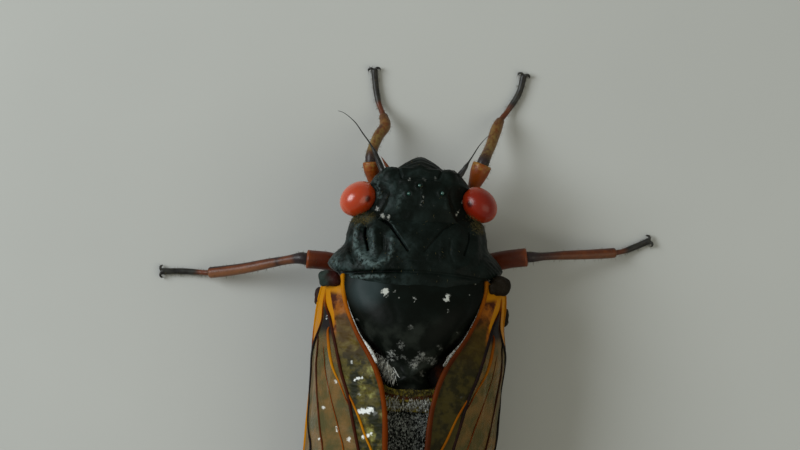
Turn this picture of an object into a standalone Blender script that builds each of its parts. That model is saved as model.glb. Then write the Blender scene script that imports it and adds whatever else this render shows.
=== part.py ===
"""Periodical cicada, life size, standing on a level floor with its wings folded.

The insect faces -Y, its back is up (+Z) and its left side is +X. Lengths along the body are
measured from the front of the face, heights from the floor, all in millimetres, and MM turns
them into metres. The empty named cicada carries every part and sets the origin on the floor
under the middle of the whole outline.
"""
import math

import bmesh
import bpy
import numpy as np
from mathutils import Matrix, Vector

MM = 0.001

GAP = 0.3                 # open joint that neighbouring parts keep
SIDES = {"left": 1.0, "right": -1.0}

# Head
FACE_BULGE = (1.75, 1.75, 2.0)        # half sizes of the swollen face
FACE_MIDDLE = (0.0, 1.75, 4.5)
FACE_POWER = 1.6                      # seen from above, under 2 it comes to a blunt point
FACE_RIDGES = 9                       # grooves across the face from top to bottom
FACE_RIDGE_DEPTH = 0.035
OCELLUS_RADIUS = 0.22
OCELLI = ((0.0, 1.75, 6.5), (0.95, 2.35, 6.72), (-0.95, 2.35, 6.72))
LOBE_SIZE = (0.62, 0.75, 0.6)         # half sizes of the plate over each feeler
LOBE_MIDDLE = (1.65, 1.42, 5.75)
HEAD_REAR = 3.6
HEAD_ROWS = ((0.7, 1.9, 6.05, 4.3), (1.4, 2.6, 6.5, 3.4), (2.4, 3.2, 6.85, 2.95),
             (HEAD_REAR, 3.85, 7.0, 2.9))
HEAD_POWER = 2.6

# Eyes
EYE_MIDDLE = (3.66, 2.58, 5.2)
EYE_SIZE = (1.15, 0.94, 1.12)
EYE_TURN = 42.0                       # degrees by which the long axis swings back

# Collar and back shield: along, half width, top
PRONOTUM_FLOOR = 4.6
RELIEF_WIDTH = 0.35                   # half width of a raised line on the shield
COLLAR_GROOVE = 6.85                  # the groove in front of the collar's hind band
FISSURES = (((2.7, 4.0), (0.6, 5.9)), ((3.5, 4.9), (2.9, 6.2)))   # slanted slits, X and along
FISSURE_DEPTH = 0.16
FISSURE_WIDTH = 0.22
SWELLING = 0.1
PRONOTUM_ROWS = ((HEAD_REAR + GAP, 3.95, 7.0), (4.7, 4.2, 7.45), (5.6, 4.45, 7.75),
                 (6.4, 5.1, 7.95), (6.8, 5.25, 8.0), (7.2, 4.95, 8.05), (7.6, 4.3, 8.1))
MESONOTUM_FLOOR = 6.3
MESONOTUM_ROWS = ((7.9, 4.2, 8.15), (8.8, 4.0, 8.65), (9.8, 3.6, 8.85), (10.8, 2.95, 8.8),
                  (11.6, 2.3, 8.6), (12.4, 1.5, 8.3), (13.1, 1.35, 8.15), (13.85, 1.5, 7.9))
CROSS_MIDDLE = 13.05                  # the raised cross at the shield's hind end
CROSS_ARM = (1.45, 0.8)               # half width and half length of its arms
CROSS_HEIGHT = 0.14
METANOTUM_ROWS = ((14.15, 2.7, 7.75), (14.75, 2.8, 7.55))

# Underside of the thorax: along, half width, bottom
BELLY_SEAM = 4.3
FORE_BELLY_ROWS = ((HEAD_REAR + GAP, 3.3, 2.7), (5.5, 3.9, 2.5), (7.6, 4.0, 2.4))
THORAX_ROOF = MESONOTUM_FLOOR - GAP
THORAX_ROWS = ((7.9, 4.1, 2.4), (10.0, 4.0, 2.4), (12.0, 3.7, 2.4), (14.75, 3.4, 2.3))
THORAX_SHOULDER = 0.86                # half width at the roof against the widest

# Abdomen: along, half width, top, bottom
ABDOMEN_ROWS = ((15.05, 3.4, 7.25, 2.2), (18.0, 3.55, 7.05, 1.9), (21.0, 3.5, 6.6, 1.8),
                (24.0, 3.05, 5.9, 1.9), (26.7, 2.1, 5.0, 2.3), (29.2, 0.7, 3.9, 3.0))
ABDOMEN_POWER = 2.2
SEGMENT_LIP = 0.1
ABDOMEN_LENGTHS = {"abdomen_front": (15.05, 18.9, 2), "abdomen_middle": (19.2, 23.0, 2),
                   "abdomen_rear": (23.3, 26.6, 2), "abdomen_tip": (26.9, 29.2, 1)}

# Wings: along, outer X, outer Z, inner X, inner Z, bulge
WING_ROWS = ((8.75, 5.5, 5.2, 4.55, 6.9, 0.2), (10.5, 5.85, 4.2, 3.65, 7.7, 0.8),
             (12.5, 6.0, 3.1, 2.05, 8.65, 1.3), (14.5, 6.05, 2.4, 1.8, 9.0, 1.6),
             (18.0, 6.2, 1.6, 1.25, 9.15, 1.8), (25.0, 6.4, 1.0, 0.55, 9.25, 1.9),
             (32.0, 6.0, 0.9, 0.5, 9.0, 1.8), (41.3, 5.1, 1.2, 0.55, 8.0, 1.2))
WING_TIP = (3.0, 41.3, 2.6)
OUTER_ROUNDING_START = 34.0
INNER_ROUNDING_START = 28.5
WING_THICKNESS = 0.5
WING_END = 0.992
WING_SLANT = 3.0                      # how far the cross veins lean back at the outer edge
WING_TUCK = {"left": 0.0, "right": 0.13}   # share by which an outer edge is held in
TUCK_LENGTH = 10.0                    # length over which the edge comes in
VEIN_RIDGE = 0.2
VEIN_HALF_WIDTH = 0.2

# Veins from the inner edge outward: start and end across the wing, where each begins to rise
VEINS = ((0.58, 0.09, 8.0), (0.64, 0.23, 25.0), (0.7, 0.37, 8.0), (0.76, 0.51, 24.0),
         (0.82, 0.64, 11.0), (0.88, 0.77, 22.0), (0.94, 0.89, 8.0))
VEIN_SPREAD = 4.5                     # length over which the veins fan out from the root
CROSS_VEINS = ((19.5, 0, 2), (24.5, 2, 6), (29.5, 0, 4), (40.3, 0, 6))
FOREWING_STATIONS = 17

HINDWING_BASE = 9.9
HINDWING_LENGTH = 19.0
HINDWING_DROP = WING_THICKNESS + GAP + 0.25
HINDWING_MIDDLE = 0.45
HINDWING_HALF_SPANS = (0.12, 0.28)
HINDWING_VEINS = (0.25, 0.5, 0.78)
HINDWING_STATIONS = 14
HINGE_MIDDLE = (5.2, 8.02, 6.2)
HINGE_SIZE = (0.68, 0.42, 0.6)

# Feelers and beak: middle line and thickness
FEELER_PATHS = {
    "left": ((2.5, 0.62, 5.0), (2.78, -0.16, 5.1), (3.16, -0.68, 5.1), (3.74, -1.43, 5.0),
             (5.0, -2.5, 4.7)),
    "right": ((-2.5, 0.66, 5.0), (-2.83, 0.0, 5.1), (-3.2, -0.59, 5.1), (-3.9, -1.4, 5.0),
              (-4.9, -2.4, 4.7))}
FEELER_THICKNESS = (0.56, 0.5, 0.5, 0.46, 0.16)
BEAK_PATH = ((0.0, 2.9, 2.2), (0.0, 4.2, 1.75), (0.0, 6.5, 1.6), (0.0, 9.2, 1.5))
BEAK_THICKNESS = (0.9, 0.8, 0.65, 0.4)

# Legs: a middle line from hip to toe, in places that the knee and the ankle cut into parts
COXA_ROOF = 2.1
COXA_SIZE = (0.78, 0.88, 0.62)
HIP_CLEARANCE = 0.05                  # room for the thigh's flat end beside the round hip
FOOT_RADIUS = 0.22
KNEE_PLACE = 3
ANKLE_PLACE = 7
LIMBS = {"femur": ("leg", (0.62, 0.95, 1.15, 1.12, 0.9)),
         "tibia": ("leg", (0.6, 0.56, 0.5, 0.5, 0.56)),
         "tarsus": ("foot", (0.52, 0.54, 0.5, 0.54, 0.46))}
CLAW_REACH = 0.42
CLAW_SPREAD = 0.34
SPINE_LENGTH = 0.55
SPINE_RADIUS = 0.13
FORE_SPINES = (3, 4, 5)               # stations of the spines under a fore thigh
HIND_SPINES = (8, 9, 10, 11)          # and along a hind shin
LIMB_STATIONS = {"femur": 8, "tibia": 13, "tarsus": 8}
KNEE_CROWDING = 1.6
LEGS = {
    "fore_left": ((1.75, 4.85, 1.75),
                  ((2.3, 3.9, 1.9), (2.6, 2.4, 2.1), (2.85, 1.2, 2.45), (2.98, 0.45, 2.6),
                   (2.97, -0.25, 2.45), (2.65, -1.4, 1.75), (2.28, -2.05, 1.2),
                   (2.5, -2.8, 0.75), (2.8, -3.55, 0.36), (2.95, -4.3, FOOT_RADIUS),
                   (3.1, -5.0, FOOT_RADIUS))),
    "fore_right": ((-1.75, 4.9, 1.75),
                   ((-2.3, 3.9, 1.9), (-2.85, 2.6, 2.1), (-3.25, 1.5, 2.45), (-3.5, 0.75, 2.6),
                    (-3.75, 0.1, 2.45), (-4.02, -0.8, 1.75), (-4.25, -1.7, 1.15),
                    (-4.55, -2.4, 0.75), (-5.05, -3.1, 0.36), (-5.6, -4.1, FOOT_RADIUS),
                    (-5.9, -5.1, FOOT_RADIUS))),
    "mid_left": ((2.2, 8.9, 1.7),
                 ((3.1, 8.1, 1.75), (4.15, 6.95, 2.25), (5.2, 6.52, 2.75), (6.3, 6.42, 2.95),
                  (6.9, 6.42, 2.88), (8.6, 6.75, 2.15), (10.5, 7.15, 1.35), (12.2, 7.5, 0.75),
                  (13.2, 7.6, 0.36), (14.3, 7.66, FOOT_RADIUS), (15.5, 7.75, FOOT_RADIUS))),
    "mid_right": ((-2.2, 8.9, 1.7),
                  ((-3.1, 8.0, 1.75), (-4.1, 6.75, 2.25), (-5.15, 6.15, 2.75), (-6.3, 5.8, 2.95),
                   (-7.0, 5.66, 2.9), (-8.6, 5.45, 2.15), (-10.4, 5.3, 1.35),
                   (-11.9, 5.15, 0.75), (-12.7, 4.9, 0.36), (-13.5, 4.5, FOOT_RADIUS),
                   (-14.2, 4.15, FOOT_RADIUS))),
    "hind_left": ((1.9, 12.6, 1.7),
                  ((2.8, 12.1, 1.7), (3.7, 11.3, 2.1), (4.5, 10.5, 2.5), (5.05, 9.9, 2.75),
                   (5.62, 9.45, 3.1), (5.72, 10.6, 2.95), (5.35, 13.8, 1.85), (5.0, 17.2, 0.75),
                   (4.85, 18.2, 0.36), (4.7, 19.4, FOOT_RADIUS), (4.55, 20.6, FOOT_RADIUS))),
    "hind_right": ((-1.9, 12.6, 1.7),
                   ((-2.8, 12.2, 1.7), (-3.65, 11.5, 2.1), (-4.4, 10.75, 2.5),
                    (-4.95, 10.2, 2.75), (-5.52, 9.75, 3.1), (-5.62, 10.9, 2.95),
                    (-5.25, 14.0, 1.85), (-4.9, 17.4, 0.75), (-4.75, 18.4, 0.36),
                    (-4.6, 19.6, FOOT_RADIUS), (-4.45, 20.8, FOOT_RADIUS))),
}

COLOURS = {"shell": ((0.012, 0.016, 0.018, 1.0), 0.35), "eye": ((0.62, 0.05, 0.012, 1.0), 0.15),
           "feeler": ((0.01, 0.01, 0.01, 1.0), 0.4), "belly": ((0.09, 0.04, 0.015, 1.0), 0.5),
           "band": ((0.28, 0.2, 0.05, 1.0), 0.55), "wing": ((0.35, 0.22, 0.07, 1.0), 0.2),
           "hinge": ((0.1, 0.035, 0.012, 1.0), 0.4), "leg": ((0.38, 0.12, 0.03, 1.0), 0.35),
           "foot": ((0.02, 0.014, 0.012, 1.0), 0.4)}


def clear_scene():
    """Take away whatever the new file holds."""
    for thing in list(bpy.data.objects):
        bpy.data.objects.remove(thing, do_unlink=True)


def new_collection(name):
    """Add a collection to the scene."""
    group = bpy.data.collections.new(name)
    bpy.context.scene.collection.children.link(group)
    return group


def material(name):
    """Return the named finish, made once."""
    found = bpy.data.materials.get(name)
    if found:
        return found
    colour, roughness = COLOURS[name]
    made = bpy.data.materials.new(name)
    made.use_nodes = True
    shader = made.node_tree.nodes["Principled BSDF"]
    shader.inputs["Base Color"].default_value = colour
    shader.inputs["Roughness"].default_value = roughness
    shader.inputs["Metallic"].default_value = 0.0
    return made


def track(rows):
    """Turn rows of (place, value, ...) into a smooth function of the place."""
    table = np.array(rows, dtype=float)
    places = table[:, 0]
    values = table[:, 1:]
    slopes = np.gradient(values, places, axis=0)

    def read(place):
        index = int(np.clip(np.searchsorted(places, place) - 1, 0, len(places) - 2))
        width = places[index + 1] - places[index]
        part = min(max((place - places[index]) / width, 0.0), 1.0)
        rise = part * part * (3.0 - 2.0 * part)
        start = slopes[index] * width * part * (1.0 - part) ** 2
        end = slopes[index + 1] * width * part * part * (part - 1.0)
        return values[index] * (1.0 - rise) + values[index + 1] * rise + start + end

    return read


def rounded(angle, power):
    """Cosine and sine of a super-ellipse: power 2 is an ellipse, a higher one is squarer."""
    cosine = math.cos(angle)
    sine = math.sin(angle)
    across = math.copysign(abs(cosine) ** (2.0 / power), cosine)
    upward = math.copysign(abs(sine) ** (2.0 / power), sine)
    return across, upward


def arch(along, half_width, base, crown, power, count):
    """Half a section, from one side over the crown to the other; a low crown hangs down."""
    ring = []
    for step in range(count):
        across, upward = rounded(math.pi * step / (count - 1), power)
        ring.append(Vector((half_width * across, along, base + (crown - base) * upward)))
    return ring


def oval(along, half_width, top, bottom, power, count):
    """A whole section with its own top and bottom."""
    middle = (top + bottom) / 2.0
    ring = []
    for step in range(count):
        across, upward = rounded(2.0 * math.pi * step / count, power)
        ring.append(Vector((half_width * across, along, middle + (top - middle) * upward)))
    return ring


def mesh_from(name, points, faces):
    """Make a mesh in metres from points in millimetres, with its faces turned outward."""
    mesh = bpy.data.meshes.new(name)
    mesh.from_pydata([tuple(point * MM) for point in points], [], faces)
    work = bmesh.new()
    work.from_mesh(mesh)
    bmesh.ops.recalc_face_normals(work, faces=work.faces)
    work.to_mesh(mesh)
    work.free()
    return mesh


def loft_mesh(name, rings):
    """Join closed rings of equal count into one body with flat ends."""
    count = len(rings[0])
    points = [point for ring in rings for point in ring]
    faces = [tuple(range(count)), tuple(range(len(points) - count, len(points)))]
    for row in range(len(rings) - 1):
        for step in range(count):
            here = row * count + step
            beside = row * count + (step + 1) % count
            faces.append((here, beside, beside + count, here + count))
    return mesh_from(name, points, faces)


def ball_mesh(name, middle, half_sizes, columns=20, rows=12):
    """An ellipsoid with its poles up and down."""
    mesh = bpy.data.meshes.new(name)
    work = bmesh.new()
    bmesh.ops.create_uvsphere(work, u_segments=columns, v_segments=rows, radius=1.0)
    for vertex in work.verts:
        for axis in range(3):
            vertex.co[axis] = (vertex.co[axis] * half_sizes[axis] + middle[axis]) * MM
    work.to_mesh(mesh)
    work.free()
    return mesh


def add_part(model, name, mesh, finish, sharp_angle=50.0):
    """Put a mesh in the model as one named part."""
    mesh.materials.clear()
    mesh.materials.append(material(finish))
    mesh.shade_smooth()
    mesh.set_sharp_from_angle(angle=math.radians(sharp_angle))
    part = bpy.data.objects.new(name, mesh)
    model["collection"].objects.link(part)
    part.parent = model["root"]
    return part


def stretch(points, first, last, count, crowding=1.0):
    """Steps along a smooth curve through the points, between two of them, with their headings.

    A cut at a point inside the curve takes half a gap off each side, and crowding above 1
    sets the steps closer together at the start.
    """
    read = track([(index,) + tuple(point) for index, point in enumerate(points)])
    places = np.linspace(first, last, 12 * (last - first) + 1)
    fine = np.array([read(place) for place in places])
    lengths = np.insert(np.cumsum(np.linalg.norm(np.diff(fine, axis=0), axis=1)), 0, 0.0)
    start = GAP / 2.0 if first > 0 else 0.0
    end = lengths[-1] - (GAP / 2.0 if last < len(points) - 1 else 0.0)
    steps = start + (end - start) * np.linspace(0.0, 1.0, count) ** crowding
    parts = (steps - start) / (end - start)
    headings = np.gradient(fine, lengths, axis=0)
    middles = []
    for step, part in zip(steps, parts):
        middle = Vector([np.interp(step, lengths, fine[:, axis]) for axis in range(3)])
        ahead = Vector([np.interp(step, lengths, headings[:, axis]) for axis in range(3)])
        middles.append((middle, ahead.normalized(), part))
    return middles


def tube_mesh(name, middles, thicknesses, count, floor=None):
    """A round limb of changing thickness along a path; a floor flattens what would cross it."""
    places = np.linspace(0.0, 1.0, len(thicknesses))
    rings = []
    for middle, ahead, part in middles:
        across = ahead.cross(Vector((0.0, 0.0, 1.0))).normalized()
        upward = across.cross(ahead)
        radius = float(np.interp(part, places, thicknesses)) / 2.0
        ring = []
        for step in range(count):
            angle = 2.0 * math.pi * (step + 0.5) / count
            point = middle + (across * math.cos(angle) + upward * math.sin(angle)) * radius
            if floor is not None:
                point.z = max(point.z, floor)
            ring.append(point)
        rings.append(ring)
    return loft_mesh(name, rings)


def fuse(model, name, meshes, finish):
    """Join closed meshes into one named part and keep its largest surface."""
    pieces = bpy.data.collections.new(name + "_pieces")
    bpy.context.scene.collection.children.link(pieces)
    base = add_part(model, name, meshes[0], finish)
    for mesh in meshes[1:]:
        pieces.objects.link(bpy.data.objects.new(mesh.name, mesh))
    union = base.modifiers.new("join", "BOOLEAN")
    union.operation = "UNION"
    union.operand_type = "COLLECTION"
    union.collection = pieces
    settle(base)
    for piece in list(pieces.objects):
        bpy.data.objects.remove(piece, do_unlink=True)
    bpy.data.collections.remove(pieces)
    return base


def settle(part):
    """Apply a part's modifiers and keep its largest closed surface."""
    graph = bpy.context.evaluated_depsgraph_get()
    finish = part.data.materials[0]
    mesh = bpy.data.meshes.new_from_object(part.evaluated_get(graph))
    part.modifiers.clear()
    work = bmesh.new()
    work.from_mesh(mesh)
    keep_largest(work)
    work.to_mesh(mesh)
    work.free()
    mesh.materials.clear()
    mesh.materials.append(finish)
    part.data = mesh


def keep_largest(work):
    """Delete every loose surface of a mesh but the one with most faces."""
    unseen = set(work.faces)
    groups = []
    while unseen:
        front = [unseen.pop()]
        group = list(front)
        while front:
            face = front.pop()
            for edge in face.edges:
                for other in edge.link_faces:
                    if other in unseen:
                        unseen.discard(other)
                        front.append(other)
                        group.append(other)
        groups.append(group)
    groups.sort(key=len, reverse=True)
    for group in groups[1:]:
        bmesh.ops.delete(work, geom=group, context="FACES")


def cut(model, part, name, mesh):
    """Take a mesh away from a part."""
    cutter = bpy.data.objects.new(name, mesh)
    model["cutters"].objects.link(cutter)
    cutter.parent = model["root"]
    cutter.hide_render = True
    cutter.display_type = "WIRE"
    difference = part.modifiers.new(name, "BOOLEAN")
    difference.operation = "DIFFERENCE"
    difference.object = cutter


def spike_mesh(name, root, tip, radius, sides=5):
    """A slender cone from its root to just short of a point."""
    ahead = Vector(tip) - Vector(root)
    mesh = bpy.data.meshes.new(name)
    work = bmesh.new()
    bmesh.ops.create_cone(work, cap_ends=True, segments=sides, radius1=radius * MM,
                          radius2=radius * 0.25 * MM, depth=ahead.length * MM)
    turn = Vector((0.0, 0.0, 1.0)).rotation_difference(ahead)
    middle = (Vector(tip) + Vector(root)) / 2.0
    for vertex in work.verts:
        vertex.co = turn @ vertex.co + middle * MM
    work.to_mesh(mesh)
    work.free()
    return mesh


def mirrored(point, side):
    """The same place on the given side of the body."""
    return (point[0] * side, point[1], point[2])


def eye_mesh(name, side, margin=0.0):
    """An eye's turned oval, or the hollow round it when a margin is given."""
    mesh = ball_mesh(name, (0.0, 0.0, 0.0), [size + margin for size in EYE_SIZE])
    turn = Matrix.Rotation(math.radians(EYE_TURN * side), 3, "Z")
    middle = Vector(mirrored(EYE_MIDDLE, side)) * MM
    for vertex in mesh.vertices:
        vertex.co = turn @ vertex.co + middle
    return mesh


def face_mesh():
    """The swollen face with its cross grooves."""
    face = ball_mesh("face", FACE_MIDDLE, FACE_BULGE, 14, 20)
    middle = Vector(FACE_MIDDLE) * MM
    for vertex in face.vertices:
        outward = vertex.co - middle
        angle = math.acos(max(-1.0, min(1.0, outward.z / (FACE_BULGE[2] * MM))))
        across, ahead = (abs(outward[axis]) / FACE_BULGE[axis] for axis in range(2))
        blunt = (across ** FACE_POWER + ahead ** FACE_POWER) ** (1.0 / FACE_POWER)
        if blunt > 0.0:
            outward.xy *= math.hypot(across, ahead) / blunt
        wave = math.cos(2.0 * FACE_RIDGES * angle)
        vertex.co = middle + outward * (1.0 - FACE_RIDGE_DEPTH * (1.0 - wave) / 2.0)
    return face


def build_head(model):
    """Crown, swollen face and the plates over the feelers, with a hollow for each eye."""
    read = track(HEAD_ROWS)
    stations = np.linspace(HEAD_ROWS[0][0], HEAD_REAR, 7)
    rings = [oval(along, *read(along), HEAD_POWER, 24) for along in stations]
    meshes = [loft_mesh("crown", rings), face_mesh()]
    for index, place in enumerate(OCELLI):
        size = (OCELLUS_RADIUS,) * 3
        meshes.append(ball_mesh("ocellus_%d" % index, place, size, 8, 6))
    for side_name, side in SIDES.items():
        middle = mirrored(LOBE_MIDDLE, side)
        meshes.append(ball_mesh("lobe_" + side_name, middle, LOBE_SIZE, 14, 8))
    head = fuse(model, "head", meshes, "shell")
    for side_name, side in SIDES.items():
        cut(model, head, "socket_" + side_name, eye_mesh("socket_" + side_name, side, GAP))


def build_eyes(model):
    """The two oval eyes at the corners of the head."""
    for side_name, side in SIDES.items():
        add_part(model, "eye_" + side_name, eye_mesh("eye_" + side_name, side), "eye")


def build_feelers_and_beak(model):
    """The bristle feelers in front and the sucking beak laid back under the thorax."""
    for side_name, path in FEELER_PATHS.items():
        name = "antenna_" + side_name
        middles = stretch(path, 0, len(path) - 1, 10)
        add_part(model, name, tube_mesh(name, middles, FEELER_THICKNESS, 8), "feeler")
    middles = stretch(BEAK_PATH, 0, len(BEAK_PATH) - 1, 8)
    add_part(model, "beak", tube_mesh("beak", middles, BEAK_THICKNESS, 8), "feeler")


def line_distance(place, start, end):
    """How far a place in plan is from a straight stretch."""
    place, start, end = (np.array(item) for item in (place, start, end))
    ahead = end - start
    part = np.clip(np.dot(place - start, ahead) / np.dot(ahead, ahead), 0.0, 1.0)
    return float(np.linalg.norm(place - start - ahead * part))


def collar_relief(x, along):
    """Height of the collar's slits, swellings and groove over its smooth form."""
    height = -FISSURE_DEPTH * math.exp(-((along - COLLAR_GROOVE) / FISSURE_WIDTH) ** 2)
    for start, end in FISSURES:
        away = line_distance((abs(x), along), start, end)
        height -= FISSURE_DEPTH * math.exp(-(away / FISSURE_WIDTH) ** 2)
    if along < COLLAR_GROOVE:
        height += SWELLING * math.sin(math.pi * (along - HEAD_REAR) / (COLLAR_GROOVE - HEAD_REAR))
    return height


def shield_relief(x, along):
    """Height of the raised cross at the hind end of the shield."""
    across, ahead = CROSS_ARM
    away = line_distance((abs(x), abs(along - CROSS_MIDDLE)), (0.0, 0.0), (across, ahead))
    return CROSS_HEIGHT * math.exp(-(away / RELIEF_WIDTH) ** 2)


def build_plate(model, name, rows, floor, finish, stations, count, power, relief=None):
    """A plate of the back: arches of the given rows over a flat underside."""
    read = track(rows)
    rings = []
    for along in np.linspace(rows[0][0], rows[-1][0], stations):
        half_width, top = read(along)
        ring = arch(along, half_width, floor, top, power, count)
        if relief:
            for point in ring[2:-2]:
                outward = Vector((point.x, 0.0, (point.z - floor) * 1.5)).normalized()
                point += outward * relief(point.x, along)
        rings.append(ring)
    add_part(model, name, loft_mesh(name, rings), finish)


def build_thorax(model):
    """Collar, back shield, the band behind it, and the underside that carries the legs."""
    build_plate(model, "pronotum", PRONOTUM_ROWS, PRONOTUM_FLOOR, "shell", 17, 31, 2.5,
                collar_relief)
    build_plate(model, "mesonotum", MESONOTUM_ROWS, MESONOTUM_FLOOR, "shell", 18, 23, 2.2,
                shield_relief)
    build_plate(model, "metanotum", METANOTUM_ROWS, MESONOTUM_FLOOR, "band", 2, 15, 2.2)
    build_plate(model, "prothorax_underside", FORE_BELLY_ROWS, BELLY_SEAM, "belly", 5, 15, 2.8)
    read = track(THORAX_ROWS)
    rings = []
    for along in np.linspace(THORAX_ROWS[0][0], THORAX_ROWS[-1][0], 7):
        half_width, bottom = read(along)
        lower = arch(along, half_width, BELLY_SEAM, bottom, 2.8, 15)
        shoulder = half_width * THORAX_SHOULDER
        roof = [Vector((sign * shoulder, along, THORAX_ROOF)) for sign in (-1.0, 1.0)]
        rings.append(lower + roof)
    add_part(model, "thorax", loft_mesh("thorax", rings), "belly")


def build_abdomen(model):
    """The abdomen in four lengths, each ring of it lipped at its hind edge."""
    read = track(ABDOMEN_ROWS)
    for name, (start, end, segments) in ABDOMEN_LENGTHS.items():
        rings = []
        for segment in range(segments):
            first = start + (end - start) * segment / segments
            last = start + (end - start) * (segment + 1) / segments
            for part, lip in ((0.0, 0.0), (0.5, 0.5), (0.86, 1.0)):
                along = first + (last - first) * part
                half_width, top, bottom = read(along)
                grow = SEGMENT_LIP * lip
                rings.append(oval(along, half_width + grow, top + grow, bottom - grow,
                                  ABDOMEN_POWER, 20))
        half_width, top, bottom = read(end)
        rings.append(oval(end, half_width, top, bottom, ABDOMEN_POWER, 20))
        add_part(model, name, loft_mesh(name, rings), "shell")


def rounding(along, start):
    """How far an edge of the wing has closed on the tip, from 0 to 1."""
    reach = min(max((along - start) / (WING_TIP[1] - start), 0.0), 1.0)
    return 1.0 - math.sqrt(1.0 - reach ** 2)


def wing_reader(tuck):
    """Read the wing's rows, with the outer edge held in towards the body by a share."""
    read = track(WING_ROWS)

    def tucked(along):
        values = read(along).copy()
        part = min(max((along - WING_ROWS[0][0]) / TUCK_LENGTH, 0.0), 1.0)
        values[0] *= 1.0 - tuck * part * part * (3.0 - 2.0 * part)
        return values

    return tucked


def wing_point(read, along, across):
    """A place on the folded left wing: across runs from the inner edge (0) to the outer (1)."""
    outer_x, outer_z, inner_x, inner_z, bulge = read(along)
    tip = Vector((WING_TIP[0], along, WING_TIP[2]))
    closing = rounding(along, INNER_ROUNDING_START)
    outer = Vector((outer_x, along, outer_z)).lerp(tip, rounding(along, OUTER_ROUNDING_START))
    inner = Vector((inner_x, along, inner_z)).lerp(tip, closing)
    chord = outer - inner
    outward = Vector((-chord.z, 0.0, chord.x)).normalized()
    swell = bulge * (1.0 - closing) * math.sin(math.pi * across)
    return inner + chord * across + outward * swell


def sheet_mesh(name, grid, lifts, side, thickness, drop):
    """A closed sheet along a grid of points, its veins raised, split alike on both faces."""
    rows = len(grid)
    columns = len(grid[0])
    upper = []
    lower = []
    for row in range(rows):
        for column in range(columns):
            along = grid[min(row + 1, rows - 1)][column] - grid[max(row - 1, 0)][column]
            across = grid[row][min(column + 1, columns - 1)] - grid[row][max(column - 1, 0)]
            outward = along.cross(across).normalized()
            if outward.x < 0.0:
                outward = -outward
            middle = grid[row][column] - outward * drop
            lift = thickness / 2.0 + lifts[row][column]
            for layer, offset in ((upper, lift), (lower, -thickness / 2.0)):
                point = middle + outward * offset
                layer.append(Vector((point.x * side, point.y, point.z)))
    size = rows * columns
    faces = []
    for row in range(rows - 1):
        for column in range(columns - 1):
            first = row * columns + column
            square = (first, first + 1, first + columns + 1, first + columns)
            for corners in ((0, 1, 2), (0, 2, 3)):
                faces.append(tuple(square[corner] for corner in corners))
                faces.append(tuple(square[corner] + size for corner in reversed(corners)))
    border = [column for column in range(columns)]
    border += [row * columns + columns - 1 for row in range(1, rows)]
    border += [(rows - 1) * columns + column for column in range(columns - 2, -1, -1)]
    border += [row * columns for row in range(rows - 2, 0, -1)]
    for index, here in enumerate(border):
        after = border[(index + 1) % len(border)]
        faces.append((here, after, after + size, here + size))
    return mesh_from(name, upper + lower, faces)


def vein_columns(middles, chord):
    """Places across a wing: its two edges, and a foot, a crest and a foot for each vein."""
    spread = min(VEIN_HALF_WIDTH / chord, 0.4 * min(np.diff(middles)))
    places = [0.0]
    for middle in middles:
        places += [middle - spread, middle, middle + spread]
    return places + [1.0]


def forewing_rows():
    """Places along the forewing, each with the veins that it crosses raised, if any."""
    base = WING_ROWS[0][0]
    length = (WING_TIP[1] - base) * WING_END
    rows = [(base + length * (1.0 - (1.0 - step) ** 1.5), None)
            for step in np.linspace(0.0, 1.0, FOREWING_STATIONS)]
    for place, first, last in CROSS_VEINS:
        rows = [row for row in rows if abs(row[0] - place) > 2.0 * VEIN_HALF_WIDTH]
        rows += [(place - VEIN_HALF_WIDTH, None), (place, (first, last)),
                 (place + VEIN_HALF_WIDTH, None)]
    return sorted(rows, key=lambda row: row[0])


def forewing_mesh(name, read, side):
    """The forewing: a curved membrane with its main veins raised along and across it."""
    base = WING_ROWS[0][0]
    length = WING_TIP[1] - base
    grid = []
    lifts = []
    for place, crossed in forewing_rows():
        fan = math.exp(-(place - base) / VEIN_SPREAD)
        middles = [end + (start - end) * fan for start, end, _ in VEINS]
        chord = (wing_point(read, place, 1.0) - wing_point(read, place, 0.0)).length
        slant = WING_SLANT * math.sin(math.pi * (place - base) / length)
        line = []
        heights = []
        for index, across in enumerate(vein_columns(middles, chord)):
            line.append(wing_point(read, place + slant * (across - 0.5), across))
            vein, part = divmod(index - 1, 3)
            crest = part == 1 and place >= VEINS[vein][2]
            crossing = crossed and crossed[0] <= (index - 2) / 3.0 <= crossed[1]
            heights.append(VEIN_RIDGE if crest or crossing else 0.0)
        grid.append(line)
        lifts.append(heights)
    return sheet_mesh(name, grid, lifts, side, WING_THICKNESS, 0.0)


def hindwing_mesh(name, read, side):
    """The folded hindwing under the forewing, with its own raised veins."""
    grid = []
    lifts = []
    narrow, wide = HINDWING_HALF_SPANS
    for step in np.linspace(0.0, 1.0, HINDWING_STATIONS):
        along = HINDWING_BASE + HINDWING_LENGTH * step
        half = narrow + (wide - narrow) * min(step / 0.3, 1.0)
        half *= math.sqrt(1.0 - (max(step - 0.5, 0.0) / 0.51) ** 2)
        chord = 2.0 * half * (wing_point(read, along, 1.0) - wing_point(read, along, 0.0)).length
        places = vein_columns(HINDWING_VEINS, chord)
        grid.append([wing_point(read, along, HINDWING_MIDDLE + half * (2.0 * place - 1.0))
                     for place in places])
        lifts.append([VEIN_RIDGE * 0.5 if index % 3 == 2 and index < len(places) - 1 else 0.0
                      for index in range(len(places))])
    return sheet_mesh(name, grid, lifts, side, WING_THICKNESS, HINDWING_DROP)


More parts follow.
